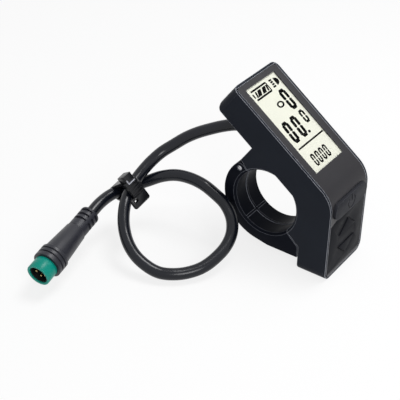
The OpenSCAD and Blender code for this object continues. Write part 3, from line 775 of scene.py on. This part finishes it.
@dataclass
class Studio:
    """Camera at the photograph's angle, pale floor and soft light."""

    eye: Point = (-239.33, -140.86, 188.46)
    right: Point = (0.58549, -0.81064, 0.00817)
    down: Point = (-0.45730, -0.33857, -0.82234)
    lens: float = 93.41
    sensor: float = 36.0
    floor_span: float = 4000.0
    floor_tone: float = 0.95
    floor_glow: float = 0.8
    ambient: float = 0.33
    cool: float = 1.02
    aim: Point = (0.0, 10.0, 0.0)
    # name, place, span and power of each lamp
    lamps: tuple[tuple[str, Point, float, float], ...] = (
        ("key_lamp", (120.0, -80.0, 560.0), 260.0, 1.9),
        ("front_lamp", (-330.0, -420.0, 330.0), 260.0, 1.2),
        ("gloss_lamp", (115.0, -52.0, 142.0), 90.0, 0.03),
    )

    def camera(self) -> None:
        """Sets the camera."""
        data = bpy.data.cameras.new("photo_camera")
        data.lens = self.lens
        data.sensor_width = self.sensor
        data.clip_start = 0.01
        camera = bpy.data.objects.new("photo_camera", data)
        right = Vector(self.right).normalized()
        up = -Vector(self.down).normalized()
        back = right.cross(up)
        turn = Matrix((right, up, back)).transposed().to_4x4()
        camera.matrix_world = Matrix.Translation(spot(self.eye)) @ turn
        bpy.context.scene.collection.objects.link(camera)
        bpy.context.scene.camera = camera

    def light(self) -> None:
        """Places the soft lamps and the world's level."""
        for name, place, span, power in self.lamps:
            data = bpy.data.lights.new(name, "AREA")
            data.shape = "DISK"
            data.size = mm(span)
            data.energy = power
            lamp = bpy.data.objects.new(name, data)
            turn = (spot(self.aim) - spot(place)).to_track_quat("-Z", "Y")
            lamp.matrix_world = Matrix.Translation(spot(place)) @ turn.to_matrix().to_4x4()
            bpy.context.scene.collection.objects.link(lamp)
        world = bpy.data.worlds.new("studio")
        bpy.context.scene.world = world
        world.use_nodes = True
        tree = world.node_tree
        tree.nodes.clear()
        out = tree.nodes.new("ShaderNodeOutputWorld")
        sky = tree.nodes.new("ShaderNodeBackground")
        seen = tree.nodes.new("ShaderNodeBackground")
        sky.inputs[0].default_value = (self.ambient, self.ambient, self.ambient * self.cool, 1)
        seen.inputs[0].default_value = (1, 1, 1, 1)
        self.mix_by_ray(tree, sky, seen, out, share=1.0)

    def mix_by_ray(self, tree: bpy.types.NodeTree, plain: bpy.types.Node, seen: bpy.types.Node,
                   out: bpy.types.Node, share: float) -> None:
        """Shows one shader to the camera, reflections and clear plastic, another to the rest.

        Args:
            tree: The node tree.
            plain: The shader that lights the object.
            seen: The shader that those rays see.
            out: The output node.
            share: How much of the seen shader they get.
        """
        path = tree.nodes.new("ShaderNodeLightPath")
        total = None
        for ray in ("Is Camera Ray", "Is Glossy Ray", "Is Transmission Ray"):
            step = tree.nodes.new("ShaderNodeMath")
            step.operation = "MULTIPLY_ADD"
            step.use_clamp = True
            tree.links.new(path.outputs[ray], step.inputs[0])
            step.inputs[1].default_value = share
            if total is None:
                step.inputs[2].default_value = 0.0
            else:
                tree.links.new(total.outputs[0], step.inputs[2])
            total = step
        mix = tree.nodes.new("ShaderNodeMixShader")
        tree.links.new(total.outputs[0], mix.inputs[0])
        tree.links.new(plain.outputs[0], mix.inputs[1])
        tree.links.new(seen.outputs[0], mix.inputs[2])
        tree.links.new(mix.outputs[0], out.inputs["Surface"])

    def floor(self, level: float) -> None:
        """Lays the floor.

        Args:
            level: Its height in metres.
        """
        bpy.ops.object.select_all(action="DESELECT")
        bpy.ops.mesh.primitive_plane_add(size=mm(self.floor_span), location=(0, 0, level))
        plane = bpy.context.object
        plane.name = "floor"
        material = bpy.data.materials.new("pale_floor")
        material.use_nodes = True
        tree = material.node_tree
        tree.nodes.clear()
        out = tree.nodes.new("ShaderNodeOutputMaterial")
        paint = tree.nodes.new("ShaderNodeBsdfDiffuse")
        paint.inputs[0].default_value = (self.floor_tone, self.floor_tone, self.floor_tone, 1)
        glow = tree.nodes.new("ShaderNodeEmission")
        glow.inputs[0].default_value = (1, 1, 1, 1)
        glow.inputs[1].default_value = 1.0
        self.mix_by_ray(tree, paint, glow, out, share=self.floor_glow)
        plane.data.materials.append(material)
        plane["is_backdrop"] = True


# Body


@dataclass
class Casing:
    """Rear housing and inset front cover."""

    side_edge: float = 0.45
    foot_edge: float = 0.8
    foot: tuple[float, float] = (-23.65, -21.24)
    bore_reach: float = 12.6
    x_sides: tuple[float, float] = (-6.5, 17.1)
    pieces: dict[str, bpy.types.Object] = field(default_factory=dict)

    def on_side(self, a: Vector, b: Vector) -> bool:
        """Tells whether an edge bounds a side face, away from the bore."""
        for side in self.x_sides:
            if max(abs(a.x - side), abs(b.x - side)) < NEAR:
                return min(math.hypot(p.y, p.z) for p in (a, b)) > self.bore_reach
        return False

    def on_foot(self, a: Vector, b: Vector) -> bool:
        """Tells whether an edge lies between the key face and the foot."""
        y, z = self.foot
        return all(abs(p.y - y) < NEAR and abs(p.z - z) < self.foot_edge / 2 for p in (a, b))

    def build(self, shop: Shop) -> None:
        """Copies both shells, rounds the housing's long edges and the cover's foot."""
        housing = shop.copy_of("rear_housing", "housing_shell")
        shop.round_off(housing, self.on_side, self.side_edge, 3)
        cover = shop.copy_of("front_cover", "cover_shell")
        shop.round_off(cover, self.on_foot, self.foot_edge, 4)
        self.pieces = {"rear_housing": housing, "front_cover": cover}

    def dress(self, shop: Shop, coats: Palette) -> None:
        """Gives both shells their finish."""
        shop.settle(self.pieces["rear_housing"], Body.DISPLAY, "housing", coats.shell, "rear_housing")
        shop.settle(self.pieces["front_cover"], Body.DISPLAY, "cover", coats.cover, "front_cover")


@dataclass(frozen=True)
class Digit:
    """A seven-segment zero: left edge and foot on the screen, size and stroke."""

    x: float
    s: float
    width: float
    height: float
    stroke: float
    lean: float = 0.0


@dataclass
class Screen:
    """Window, display glass with its segments, light guide and foam."""

    window_x: tuple[float, float] = (-2.7, 13.3)
    window_s: tuple[float, float] = (10.0, 43.2)
    lens_top: float = 0.05
    lens_foot: float = 0.5
    lens_edge: float = 0.12
    ink_top: float = 0.53
    ink_foot: float = 0.55
    gap: float = 0.12
    digits: tuple[Digit, ...] = (
        Digit(8.6, 29.7, 3.3, 7.8, 1.26), Digit(-0.7, 20.8, 3.2, 7.8, 1.26, 0.35),
        Digit(3.9, 20.8, 3.2, 7.8, 1.26, 0.35), Digit(9.6, 23.8, 2.4, 4.8, 0.88, 0.1),
        Digit(0.3, 11.3, 1.8, 4.3, 0.66, 0.25), Digit(2.65, 11.3, 1.8, 4.3, 0.66, 0.25),
        Digit(5.0, 11.3, 1.8, 4.3, 0.66, 0.25), Digit(7.3, 11.3, 1.8, 4.3, 0.66, 0.25),
    )
    # middle, width and lean of each charge bar
    slashes: tuple[tuple[float, float, float], ...] = (
        (0.2, 0.75, 0.5), (1.45, 1.8, 1.2), (4.0, 1.8, 1.2), (6.1, 0.8, 0.5),
    )
    slash_l: float = 2.0
    slash_s: float = 40.28
    ring_at: tuple[float, float] = (6.0, 33.55)
    ring_r: float = 1.15
    ring_stroke: float = 0.52
    ring_span: float = 1.5
    lamp_at: tuple[float, float] = (11.0, 40.4)
    lamp_r: float = 1.4
    lamp_span: float = 1.35
    # middle across, middle up the face, length and stroke of the upright and the level marks
    posts: tuple[tuple[float, float, float, float], ...] = ((-1.05, 40.3, 1.7, 0.6), (7.15, 40.3, 3.4, 0.45))
    bars: tuple[tuple[float, float, float, float], ...] = (
        (3.05, 41.95, 8.3, 0.62), (3.05, 38.7, 8.3, 0.62), (5.9, 18.95, 14.6, 0.56),
        (9.5, 41.7, 1.6, 0.62), (9.6, 40.9, 1.4, 0.62), (9.6, 40.05, 1.4, 0.62), (9.5, 39.2, 1.6, 0.62),
        (8.05, 21.4, 1.25, 0.95),
    )
    pieces: dict[str, bpy.types.Object] = field(default_factory=dict)

    @property
    def ink_depth(self) -> float:
        """Thickness of the segments."""
        return self.ink_foot - self.ink_top

    def bar(self, shop: Shop, length: float, stroke: float) -> bpy.types.Object:
        """Models one segment along X: a flat six-sided bar with pointed ends.

        Args:
            shop: The workshop.
            length: Tip to tip.
            stroke: Width of the bar.

        Returns:
            The bar, centred on the origin, with its top on Z = 0.
        """
        radius = stroke / math.sqrt(3)
        piece = shop.disc("bar", radius, self.ink_depth, sides=6)
        piece.data.transform(Matrix.Rotation(math.pi / 6, 4, "Z"))
        for side in (-1, 1):
            move = Vector((mm(side * (length / 2 - radius)), 0, 0))
            shop.shift(piece, lambda co, k=side: co.x * k > mm(radius * 0.1), move)
        return piece

    def place(self, shape: Shape, x: float, s: float, upright: bool = False, lean: float = 0.0) -> Matrix:
        """Returns the place of a bar on the glass, level or upright."""
        turn = math.pi / 2 - lean if upright else 0.0
        return shape.on_screen(x, s, self.ink_top) @ Matrix.Rotation(turn, 4, "Z")

    def zero(self, shop: Shop, shape: Shape, digit: Digit) -> list[bpy.types.Object]:
        """Models a seven-segment zero from two bars and their copies.

        Args:
            shop: The workshop.
            shape: The body's planes.
            digit: The digit.

        Returns:
            Its six bars.
        """
        t = digit.stroke
        side = digit.height / 2 - self.gap / 2
        cap = self.bar(shop, digit.width - t * 0.6, t)
        post = self.bar(shop, side - t * 0.5, t)
        lean = math.atan2(digit.lean, digit.height)
        bars = []
        for up in (t / 2, digit.height - t / 2):
            x = digit.x + digit.width / 2 + digit.lean * up / digit.height
            bars.append(shop.repeat(cap, self.place(shape, x, digit.s + up)))
        for across in (t / 2, digit.width - t / 2):
            for up in (side / 2 + t * 0.3, digit.height - side / 2 - t * 0.3):
                x = digit.x + across + digit.lean * up / digit.height
                bars.append(shop.repeat(post, self.place(shape, x, digit.s + up, True, lean)))
        for spare in (cap, post):
            bpy.data.objects.remove(spare)
        return bars

    def charge(self, shop: Shop, shape: Shape) -> list[bpy.types.Object]:
        """Models the slanted charge bars of the battery sign."""
        bars = []
        for x, width, lean in self.slashes:
            piece = shop.block("slash", (width, self.slash_l, self.ink_depth), (0, 0, -self.ink_depth / 2))
            shop.shift(piece, lambda co: co.y > 0, Vector((mm(lean), 0, 0)))
            piece.data.transform(shape.on_screen(x, self.slash_s, self.ink_top))
            bars.append(piece)
        return bars

    def ring(self, shop: Shop, shape: Shape) -> bpy.types.Object:
        """Models the flat ring sign by inset and deletion of a disc's middle."""
        bpy.ops.object.select_all(action="DESELECT")
        bpy.ops.mesh.primitive_circle_add(vertices=32, radius=mm(self.ring_r), fill_type="NGON")
        piece = shop.start("ring")
        shop.edit(piece)
        bpy.ops.object.mode_set(mode="EDIT")
        bpy.ops.mesh.select_mode(type="FACE")
        bpy.ops.mesh.select_all(action="SELECT")
        bpy.ops.mesh.inset(thickness=mm(self.ring_stroke))
        bpy.ops.mesh.delete(type="FACE")
        bpy.ops.mesh.select_all(action="SELECT")
        down = Vector((0, 0, mm(-self.ink_depth)))
        bpy.ops.mesh.extrude_region_move(TRANSFORM_OT_translate={"value": down})
        bpy.ops.mesh.select_all(action="SELECT")
        bpy.ops.mesh.normals_make_consistent(inside=False)
        bpy.ops.object.mode_set(mode="OBJECT")
        place = shape.on_screen(*self.ring_at, self.ink_top)
        piece.data.transform(place @ Matrix.Diagonal((self.ring_span, 1.0, 1.0, 1.0)))
        return piece

    def half_disc(self, shop: Shop, shape: Shape) -> bpy.types.Object:
        """Models the lamp sign's half disc by cutting a disc in two."""
        piece = shop.disc("lamp", self.lamp_r, self.ink_depth, sides=32)
        shop.edit(piece)
        bpy.ops.object.mode_set(mode="EDIT")
        bpy.ops.mesh.select_all(action="SELECT")
        bpy.ops.mesh.bisect(plane_co=(0, 0, 0), plane_no=(1, 0, 0), use_fill=True, clear_inner=True)
        bpy.ops.object.mode_set(mode="OBJECT")
        place = shape.on_screen(*self.lamp_at, self.ink_top)
        piece.data.transform(place @ Matrix.Diagonal((self.lamp_span, 1.0, 1.0, 1.0)))
        return piece

    def build(self, shop: Shop, shape: Shape) -> None:
        """Models the window plate and the segments."""
        width = self.window_x[1] - self.window_x[0]
        length = self.window_s[1] - self.window_s[0]
        depth = self.lens_foot - self.lens_top
        lens = shop.block("window_plate", (width, length, depth), (0, 0, -depth / 2))
        shop.soften(lens, self.lens_edge, 2)
        middle = (sum(self.window_x) / 2, sum(self.window_s) / 2)
        lens.data.transform(shape.on_screen(*middle, self.lens_top))
        ink = [bar for digit in self.digits for bar in self.zero(shop, shape, digit)]
        ink += [*self.charge(shop, shape), self.ring(shop, shape), self.half_disc(shop, shape)]
        for marks, upright in ((self.bars, False), (self.posts, True)):
            for x, s, long, stroke in marks:
                ink.append(self.bar(shop, long, stroke))
                ink[-1].data.transform(self.place(shape, x, s, upright))
        self.pieces = {"lens": lens, "ink": shop.join("screen_segments", ink)}

    def dress(self, shop: Shop, coats: Palette) -> None:
        """Gives the screen's layers their finish."""
        shop.settle(self.pieces["lens"], Body.DISPLAY, "window", coats.window, "lens_window")
        shop.settle(self.pieces["ink"], Body.DISPLAY, "lcd", coats.ink)
        shop.coat_node("lcd_glass", coats.ground)
        shop.coat_node("lcd_backlight", coats.light)
        shop.coat_node("window_gasket", coats.foam)


@dataclass
class Keys:
    """Key panel, power key with its sign, and two triangular keys."""

    sign_at: tuple[float, float] = (5.4, 4.1)
    sign_r: float = 2.1
    sign_stroke: float = 0.56
    sign_gap: float = math.radians(70)
    sign_bar: float = 2.7
    rise: float = 0.9
    panel_edge: float = 0.1
    power_edge: float = 0.32
    arrow_edge: float = 0.12
    # top and foot of the sign's groove and of its inlay, below the key's face
    groove: tuple[float, float] = (-0.3, 0.28)
    inlay: tuple[float, float] = (0.16, 0.4)
    pieces: dict[str, bpy.types.Object] = field(default_factory=dict)

    def build(self, shop: Shop, shape: Shape) -> None:
        """Copies the panel and keys, rounds them and sinks the sign."""
        panel = shop.copy_of("key_panel", "key_panel_plate")
        shop.soften(panel, self.panel_edge, 2)
        power = shop.copy_of("power_button", "power_key_cap")
        shop.soften(power, self.power_edge, 3)
        cutter = self.sign(shop, shape, self.groove)
        shop.only(power)
        cut = power.modifiers.new("groove", "BOOLEAN")
        cut.operation = "DIFFERENCE"
        cut.object = cutter
        bpy.ops.object.modifier_apply(modifier=cut.name)
        bpy.data.objects.remove(cutter)
        for name, node in (("up", "up_button"), ("down", "down_button")):
            cap = shop.copy_of(node, f"{name}_key_cap")
            shop.soften(cap, self.arrow_edge, 2)
            self.pieces[name] = cap
        self.pieces.update(panel=panel, power=power, sign=self.sign(shop, shape, self.inlay))

    def sign(self, shop: Shop, shape: Shape, depths: tuple[float, float]) -> bpy.types.Object:
        """Models the power sign and lays it on the key's curved face.

        Args:
            shop: The workshop.
            shape: The body's planes.
            depths: Its top and its foot below the key's face.

        Returns:
            The sign.
        """
        bpy.ops.object.select_all(action="DESELECT")
        bpy.ops.mesh.primitive_plane_add(size=mm(self.sign_stroke), location=(0, 0, 0))
        arc = shop.start("sign_arc")
        out = Matrix.Translation((mm(self.sign_r), 0, 0)) @ Matrix.Rotation(math.pi / 2, 4, "X")
        arc.data.transform(Matrix.Rotation(math.pi / 2 - self.sign_gap / 2, 4, "Z") @ out)
        shop.edit(arc)
        bpy.ops.object.mode_set(mode="EDIT")
        bpy.ops.mesh.select_all(action="SELECT")
        bpy.ops.mesh.spin(steps=36, angle=2 * math.pi - self.sign_gap, center=(0, 0, 0), axis=(0, 0, 1))
        bpy.ops.mesh.select_all(action="SELECT")
        bpy.ops.mesh.remove_doubles(threshold=mm(0.003))
        bpy.ops.mesh.select_all(action="DESELECT")
        bpy.ops.mesh.select_non_manifold()
        bpy.ops.mesh.edge_face_add()
        bpy.ops.mesh.select_all(action="SELECT")
        bpy.ops.mesh.normals_make_consistent(inside=False)
        bpy.ops.object.mode_set(mode="OBJECT")
        size = (self.sign_stroke, self.sign_bar, self.sign_stroke)
        bar = shop.block("sign_bar", size, (0, self.sign_bar / 2, 0))
        shop.edit(bar)
        bpy.ops.object.mode_set(mode="EDIT")
        bpy.ops.mesh.select_all(action="SELECT")
        bpy.ops.mesh.subdivide(number_cuts=6)
        bpy.ops.object.mode_set(mode="OBJECT")
        sign = shop.join("power_sign", [arc, bar])
        sign.data.transform(shape.on_keys(*self.sign_at, 0))
        mid_y, mid_z = shape.bend
        outer = shape.bend_r + self.rise
        for vertex in sign.data.vertices:
            y, z = vertex.co.y * 1000, vertex.co.z * 1000
            face = shape.front - self.rise
            if z > mid_z:
                face = mid_y - math.sqrt(outer**2 - (z - mid_z) ** 2)
            share = (y - shape.front) / self.sign_stroke + 0.5
            vertex.co.y = mm(face + depths[0] + share * (depths[1] - depths[0]))
        return sign

    def dress(self, shop: Shop, coats: Palette) -> None:
        """Gives panel and keys their finish."""
        parts = self.pieces
        shop.settle(parts["panel"], Body.DISPLAY, "panel", coats.panel, "key_panel")
        shop.settle(parts["power"], Body.POWER_KEY, "power_key", coats.key, "power_button")
        shop.settle(parts["sign"], Body.POWER_KEY, "power_key", coats.sign)
        shop.settle(parts["up"], Body.UP_KEY, "arrow_keys", coats.arrow, "up_button")
        shop.settle(parts["down"], Body.DOWN_KEY, "arrow_keys", coats.arrow, "down_button")


@dataclass
class Clamp:
    """Hinged strap, its pin, the clamp screw and the threaded insert."""

    edge: float = 0.5
    half: float = 6.5
    outer: float = 13.5
    # node, name of its piece and width of its rounding
    small_edges: tuple[tuple[str, str, float], ...] = (
        ("hinge_pin", "hinge_rod", 0.2), ("clamp_screw", "clamp_bolt", 0.15),
        ("screw_insert", "threaded_insert", 0.15),
    )
    pieces: dict[str, bpy.types.Object] = field(default_factory=dict)

    def on_rim(self, a: Vector, b: Vector) -> bool:
        """Tells whether an edge runs round the outside of the strap."""
        flat = all(abs(abs(p.x) - self.half) < NEAR for p in (a, b)) and a.x * b.x > 0
        return flat and min(math.hypot(p.y, p.z) for p in (a, b)) > self.outer

    def build(self, shop: Shop) -> None:
        """Copies the clamp's pieces and rounds their edges."""
        strap = shop.copy_of("clamp_strap", "strap_shell")
        shop.round_off(strap, self.on_rim, self.edge, 3)
        self.pieces["clamp_strap"] = strap
        for node, name, edge in self.small_edges:
            piece = shop.copy_of(node, name)
            shop.soften(piece, edge, 2)
            self.pieces[node] = piece

    def dress(self, shop: Shop, coats: Palette) -> None:
        """Gives the clamp's pieces their finish."""
        parts = self.pieces
        shop.settle(parts["clamp_strap"], Body.STRAP, "strap", coats.strap, "clamp_strap")
        shop.settle(parts["hinge_pin"], Body.DISPLAY, "pin", coats.steel, "hinge_pin")
        shop.settle(parts["clamp_screw"], Body.CLAMP_SCREW, "screws", coats.screw, "clamp_screw")
        shop.settle(parts["screw_insert"], Body.DISPLAY, "insert", coats.brass, "screw_insert")


@dataclass
class Electronics:
    """Boards, chips, switches and wires inside the body."""

    def dress(self, shop: Shop, coats: Palette) -> None:
        """Gives each inner solid its finish."""
        finishes = (
            ("main_pcb", coats.board), ("key_pcb", coats.board), ("controller_chip", coats.chip),
            ("power_parts", coats.parts), ("cable_socket", coats.socket), ("inner_wires", coats.wires),
            ("tact_switches", coats.switches), ("board_ribbon", coats.ribbon), ("cover_screws", coats.screw),
        )
        for node, coat in finishes:
            shop.coat_node(node, coat)


@dataclass
class Lead:
    """The round lead from the outlet round its loop to the plug."""

    diameter: float = 4.0
    outlet: Point = (6.0, 16.5, 16.5)
    route: tuple[Point, ...] = (
        (6, 16.5, 16.5), (5.5, 20, 16), (4, 23.5, 15), (2.3, 27, 13.6), (0.2, 31, 11.7), (-2, 34.5, 9.5),
        (-4.8, 37.5, 7), (-8, 40, 4.8), (-12, 41.3, 2.8), (-16, 41.8, 1), (-20, 41.8, -0.7), (-24, 41, -2.4),
        (-28.3, 39.5, -4.4), (-31.8, 37.5, -6.8), (-34.6, 35, -9.3), (-37, 31.5, -12), (-38.1, 27.5, -14.6),
        (-38, 23, -16.7), (-37, 19, -17.9), (-34.7, 15.2, -18.2), (-31.5, 12, -18.1), (-27.5, 9.3, -17.4),
        (-22.8, 7.7, -16), (-17.7, 7, -14), (-13.2, 7.8, -11.5), (-10.2, 10, -8.3), (-9, 13.5, -4.8),
        (-9, 18, -2.2), (-9, 22.5, -0.6), (-9.3, 27.5, 0), (-10.2, 32.5, -0.3), (-12, 37, -1.6),
        (-14.6, 41, -3.6), (-17.8, 44.3, -5), (-21.8, 46.8, -5.7), (-26.5, 48, -6), (-31.5, 48.1, -6.5),
        (-36.4, 47.8, -7.7),
    )
    bevel_steps: int = 10
    relief_tip: float = 12.0
    # radius and distance from the relief's collar
    relief_outline: tuple[tuple[float, float], ...] = (
        (0, -8.6), (2.25, -8.6), (2.4, -8.4), (2.4, 0), (3.15, 0), (3.3, 0.15), (3.3, 0.85), (3.15, 1.0),
        (2.8, 1.0), (2.72, 1.7), (2.45, 1.75), (2.42, 2.15), (2.66, 2.2), (2.62, 2.75), (2.38, 2.8),
        (2.36, 3.2), (2.58, 3.25), (2.52, 4.3), (2.4, 4.5), (0, 4.5),
    )
    piece: bpy.types.Object | None = None
    relief: bpy.types.Object | None = None

    def line(self, steps: int = 7) -> list[Vector]:
        """Runs one smooth curve through the route.

        Args:
            steps: Points on each stretch.

        Returns:
            The points, in metres.
        """
        marks = [spot(p) for p in self.route]
        marks = [2 * marks[0] - marks[1], *marks, 2 * marks[-1] - marks[-2]]
        line = []
        for a, b, c, d in zip(marks, marks[1:], marks[2:], marks[3:]):
            for i in range(steps):
                t = i / steps
                line.append(0.5 * (2 * b + (c - a) * t + (2 * a - 5 * b + 4 * c - d) * t**2
                                   + (3 * b - a - 3 * c + d) * t**3))
        return [*line, marks[-2]]

    def build(self, shop: Shop) -> None:
        """Sweeps the jacket and turns the strain relief."""
        line = self.line()
        curve = bpy.data.curves.new("lead_jacket", "CURVE")
        curve.dimensions = "3D"
        curve.bevel_depth = mm(self.diameter / 2)
        curve.bevel_resolution = self.bevel_steps
        curve.use_fill_caps = True
        spline = curve.splines.new("POLY")
        spline.points.add(len(line) - 1)
        for point, place in zip(spline.points, line):
            point.co = (*place, 1)
        self.piece = bpy.data.objects.new("lead_tube", curve)
        bpy.context.scene.collection.objects.link(self.piece)
        shop.only(self.piece)
        bpy.ops.object.convert(target="MESH")
        self.piece = bpy.context.object
        stem = Matrix.Translation(spot((self.outlet[0], self.relief_tip, self.outlet[2])))
        axis = stem @ Matrix.Rotation(-math.pi / 2, 4, "X")
        self.relief = shop.turned("relief_sleeve", self.relief_outline, axis)

    def dress(self, shop: Shop, coats: Palette) -> None:
        """Gives lead and strain relief their finish."""
        shop.settle(self.piece, Body.DISPLAY, "lead", coats.jacket, "lead", angle=60)
        shop.settle(self.relief, Body.DISPLAY, "relief", coats.relief, "strain_relief")

    def declare(self, carried: list[object]) -> None:
        """Does nothing."""


@dataclass
class Tie:
    """Releasable tie round the crossing of the lead: X to the tail's side, Z along the lead."""

    middle: Point = (-22.4, 43.95, -3.95)
    from_up: float = math.radians(104.3)
    heading: float = math.radians(176.7)
    turn: float = math.radians(124.3)
    head_low: Point = (4.0, 2.7, -1.05)
    head_high: Point = (7.5, 5.7, 2.25)
    head_face_y: float = 3.4
    head_edge: float = 0.7
    tab_high_y: float = -1.65
    tab_corner: tuple[float, float] = (1.3, 1.9)
    tab_edge: float = 0.8
    fine_edge: float = 0.1
    lip_edge: float = 0.12
    reach: float = 3.7
    # inner radius of the band, its radius on the far side and the share of its thickness there
    band_r: float = 2.75
    hug_r: float = 2.2
    hug_share: float = 0.75
    hug_to: float = 0.1
    # middle and size of each lip
    lips: tuple[tuple[Point, Point], ...] = (
        ((7.45, 2.7, 0.6), (0.6, 0.4, 2.9)), ((7.45, 3.3, 2.0), (0.6, 1.6, 0.35)),
    )
    piece: bpy.types.Object | None = None
    lip_highlight: bpy.types.Object | None = None

    @property
    def place(self) -> Matrix:
        """The tie's own frame."""
        turn = Matrix.Rotation(self.heading, 4, "Z") @ Matrix.Rotation(self.from_up, 4, "Y")
        return Matrix.Translation(spot(self.middle)) @ turn @ Matrix.Rotation(self.turn, 4, "Z")

    def on_head(self, a: Vector, b: Vector) -> bool:
        """Tells whether an edge belongs to the head's outer corners."""
        low, high = self.head_low, self.head_high
        return all(low[0] < p.x < high[0] and self.head_face_y < p.y < high[1] and low[2] < p.z < high[2]
                   for p in (a, b))

    def on_tab(self, a: Vector, b: Vector) -> bool:
        """Tells whether an edge is a short one at the tab's free corners."""
        short, long = self.tab_corner
        return all(p.y < self.tab_high_y for p in (a, b)) and short < (a - b).length < long

    def build(self, shop: Shop) -> None:
        """Copies the tie in its own frame, rounds head, tab and band and adds the mouth's lips, which are
        coloured pale as a painted highlight.
        """
        piece = shop.copy_of("cable_tie", "tie_band")
        piece.data.transform(self.place.inverted())
        # the band's far end lies closer round the lead than its near end with the head
        for vertex in piece.data.vertices:
            x, y = vertex.co.x * 1000 + self.reach, vertex.co.y * 1000
            radius = math.hypot(x, y)
            if x < self.hug_to and radius > 1:
                hug = (self.hug_r + (radius - self.band_r) * self.hug_share) / radius
                vertex.co.x, vertex.co.y = mm(x * hug - self.reach), mm(y * hug)
        shop.round_off(piece, self.on_head, self.head_edge, 4, angle=60)
        shop.round_off(piece, self.on_tab, self.tab_edge, 4, angle=60)
        shop.soften(piece, self.fine_edge, 2, angle=50)
        bars = [shop.block("tie_lip_highlight", size, middle) for middle, size in self.lips]
        for bar in bars:
            shop.round_off(bar, lambda a, b: True, self.lip_edge, 2)
        self.piece, self.lip_highlight = piece, shop.join("tie_lips_highlight", bars)
        for part in (self.piece, self.lip_highlight):
            part.data.transform(self.place)

    def dress(self, shop: Shop, coats: Palette) -> None:
        """Gives the tie its finish and its lips a pale painted highlight."""
        shop.settle(self.piece, Body.DISPLAY, "tie", coats.tie, "cable_tie")
        # the pale colour on the lips is a painted highlight
        shop.settle(self.lip_highlight, Body.DISPLAY, "tie", coats.lip_highlight)


@dataclass
class Plug:
    """Moulded plug tail, coloured nose, contact floor and pins."""

    foot: Point = (-36.4, 47.8, -7.7)
    from_up: float = math.radians(100.6)
    heading: float = math.radians(186.4)
    slots: int = 3
    slot_from: float = 0.85
    slot_pitch: float = 1.9
    slot_w: float = 0.95
    slot_h: float = 0.55
    spine: float = math.radians(129)
    spine_half: float = math.radians(13)
    grip_r: float = 3.3
    # radius and distance along the axis, from the lead's end
    heel: tuple[tuple[float, float], ...] = ((2.05, 0.0), (3.0, 0.0), (3.22, 0.1), (3.3, 0.35))
    cone: tuple[tuple[float, float], ...] = (
        (3.3, 8.1), (3.22, 8.18), (3.22, 8.42), (3.45, 8.5), (3.55, 8.72), (4.4, 19.65), (4.44, 19.9),
    )
    # start and end of each flange ring, then the outline of its edge
    rings: tuple[tuple[float, float], ...] = ((20.0, 21.18), (21.53, 22.72), (23.07, 24.6))
    ring_outline: tuple[tuple[float, float], ...] = ((4.5, 0.0), (4.8, 0.04), (4.9, 0.16))
    mouth: tuple[tuple[float, float], ...] = ((3.62, 24.6), (3.62, 21.08), (0.0, 21.08))
    # node, name of its piece and width of its rounding
    small_edges: tuple[tuple[str, str, float], ...] = (
        ("plug_nose", "plug_nose_shell", 0.2), ("plug_pins", "plug_contacts", 0.12),
        ("plug_insert", "plug_cup", 0.08),
    )
    pieces: dict[str, bpy.types.Object] = field(default_factory=dict)

    @property
    def axis(self) -> Matrix:
        """The frame whose Z runs from the lead's end to the nose."""
        place = Matrix.Translation(spot(self.foot))
        return place @ Matrix.Rotation(self.heading, 4, "Z") @ Matrix.Rotation(self.from_up, 4, "Y")

    def build(self, shop: Shop) -> None:
        """Turns the plug's tail and rounds its other pieces."""
        self.pieces["plug_body"] = self.tail(shop)
        for node, name, edge in self.small_edges:
            piece = shop.copy_of(node, name)
            shop.soften(piece, edge, 2)
            self.pieces[node] = piece

    def tail(self, shop: Shop) -> bpy.types.Object:
        """Turns the tail and sinks its grip slots on both sides of two spines.

        Args:
            shop: The workshop.

        Returns:
            The tail.
        """
        starts = [self.slot_from + self.slot_pitch * i for i in range(self.slots)]
        outline = [*self.heel]
        for start in starts:
            outline += [(self.grip_r, start + step) for step in
                        (0.0, 2 * NEAR, self.slot_w - 2 * NEAR, self.slot_w)]
        outline += self.cone
        for low, high in self.rings:
            outline += [(radius, low + step) for radius, step in self.ring_outline]
            outline += [(radius, high - step) for radius, step in reversed(self.ring_outline)]
        outline += self.mouth
        piece = shop.turned("plug_tail", outline, Matrix(), 72)
        for vertex in piece.data.vertices:
            radius = math.hypot(vertex.co.x, vertex.co.y) * 1000
            up = vertex.co.z * 1000
            turn = math.atan2(vertex.co.y, vertex.co.x) - self.spine + math.pi / 2
            off_spine = abs(turn % math.pi - math.pi / 2) > self.spine_half
            inside = any(start + NEAR < up < start + self.slot_w - NEAR for start in starts)
            if inside and off_spine and radius > self.grip_r - 5 * NEAR:
                vertex.co.x *= 1 - self.slot_h / radius
                vertex.co.y *= 1 - self.slot_h / radius
        piece.data.transform(self.axis)
        return piece

    def dress(self, shop: Shop, coats: Palette) -> None:
        """Gives the plug's pieces their finish."""
        parts = self.pieces
        shop.settle(parts["plug_body"], Body.DISPLAY, "plug", coats.grip, "plug_body")
        shop.settle(parts["plug_nose"], Body.DISPLAY, "nose", coats.nose, "plug_nose")
        shop.settle(parts["plug_pins"], Body.DISPLAY, "contacts", coats.contact, "plug_pins")
        shop.settle(parts["plug_insert"], Body.DISPLAY, "plug_core", coats.core, "plug_insert")


def main() -> None:
    """Builds and dresses the display, then sets the studio."""
    logging.basicConfig(level=logging.INFO, format="%(name)s: %(message)s")
    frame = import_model()
    cad_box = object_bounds()
    bpy.context.scene.view_settings.view_transform = "Standard"
    shop, shape, coats = Shop(frame), Shape(), Palette()
    studio = Studio()
    studio.camera()
    lead, tie, plug = Lead(), Tie(), Plug()
    for part in (lead, tie, plug, Casing(), Clamp()):
        part.build(shop)
        part.dress(shop, coats)
    for part in (Screen(), Keys()):
        part.build(shop, shape)
        part.dress(shop, coats)
    Electronics().dress(shop, coats)
    lead.declare([tie.piece, tie.lip_highlight, *plug.pieces.values()])
    studio.light()
    studio.floor(min(cad_box[0][2], cad_box[1][2]))


if __name__ == "__main__":
    main()
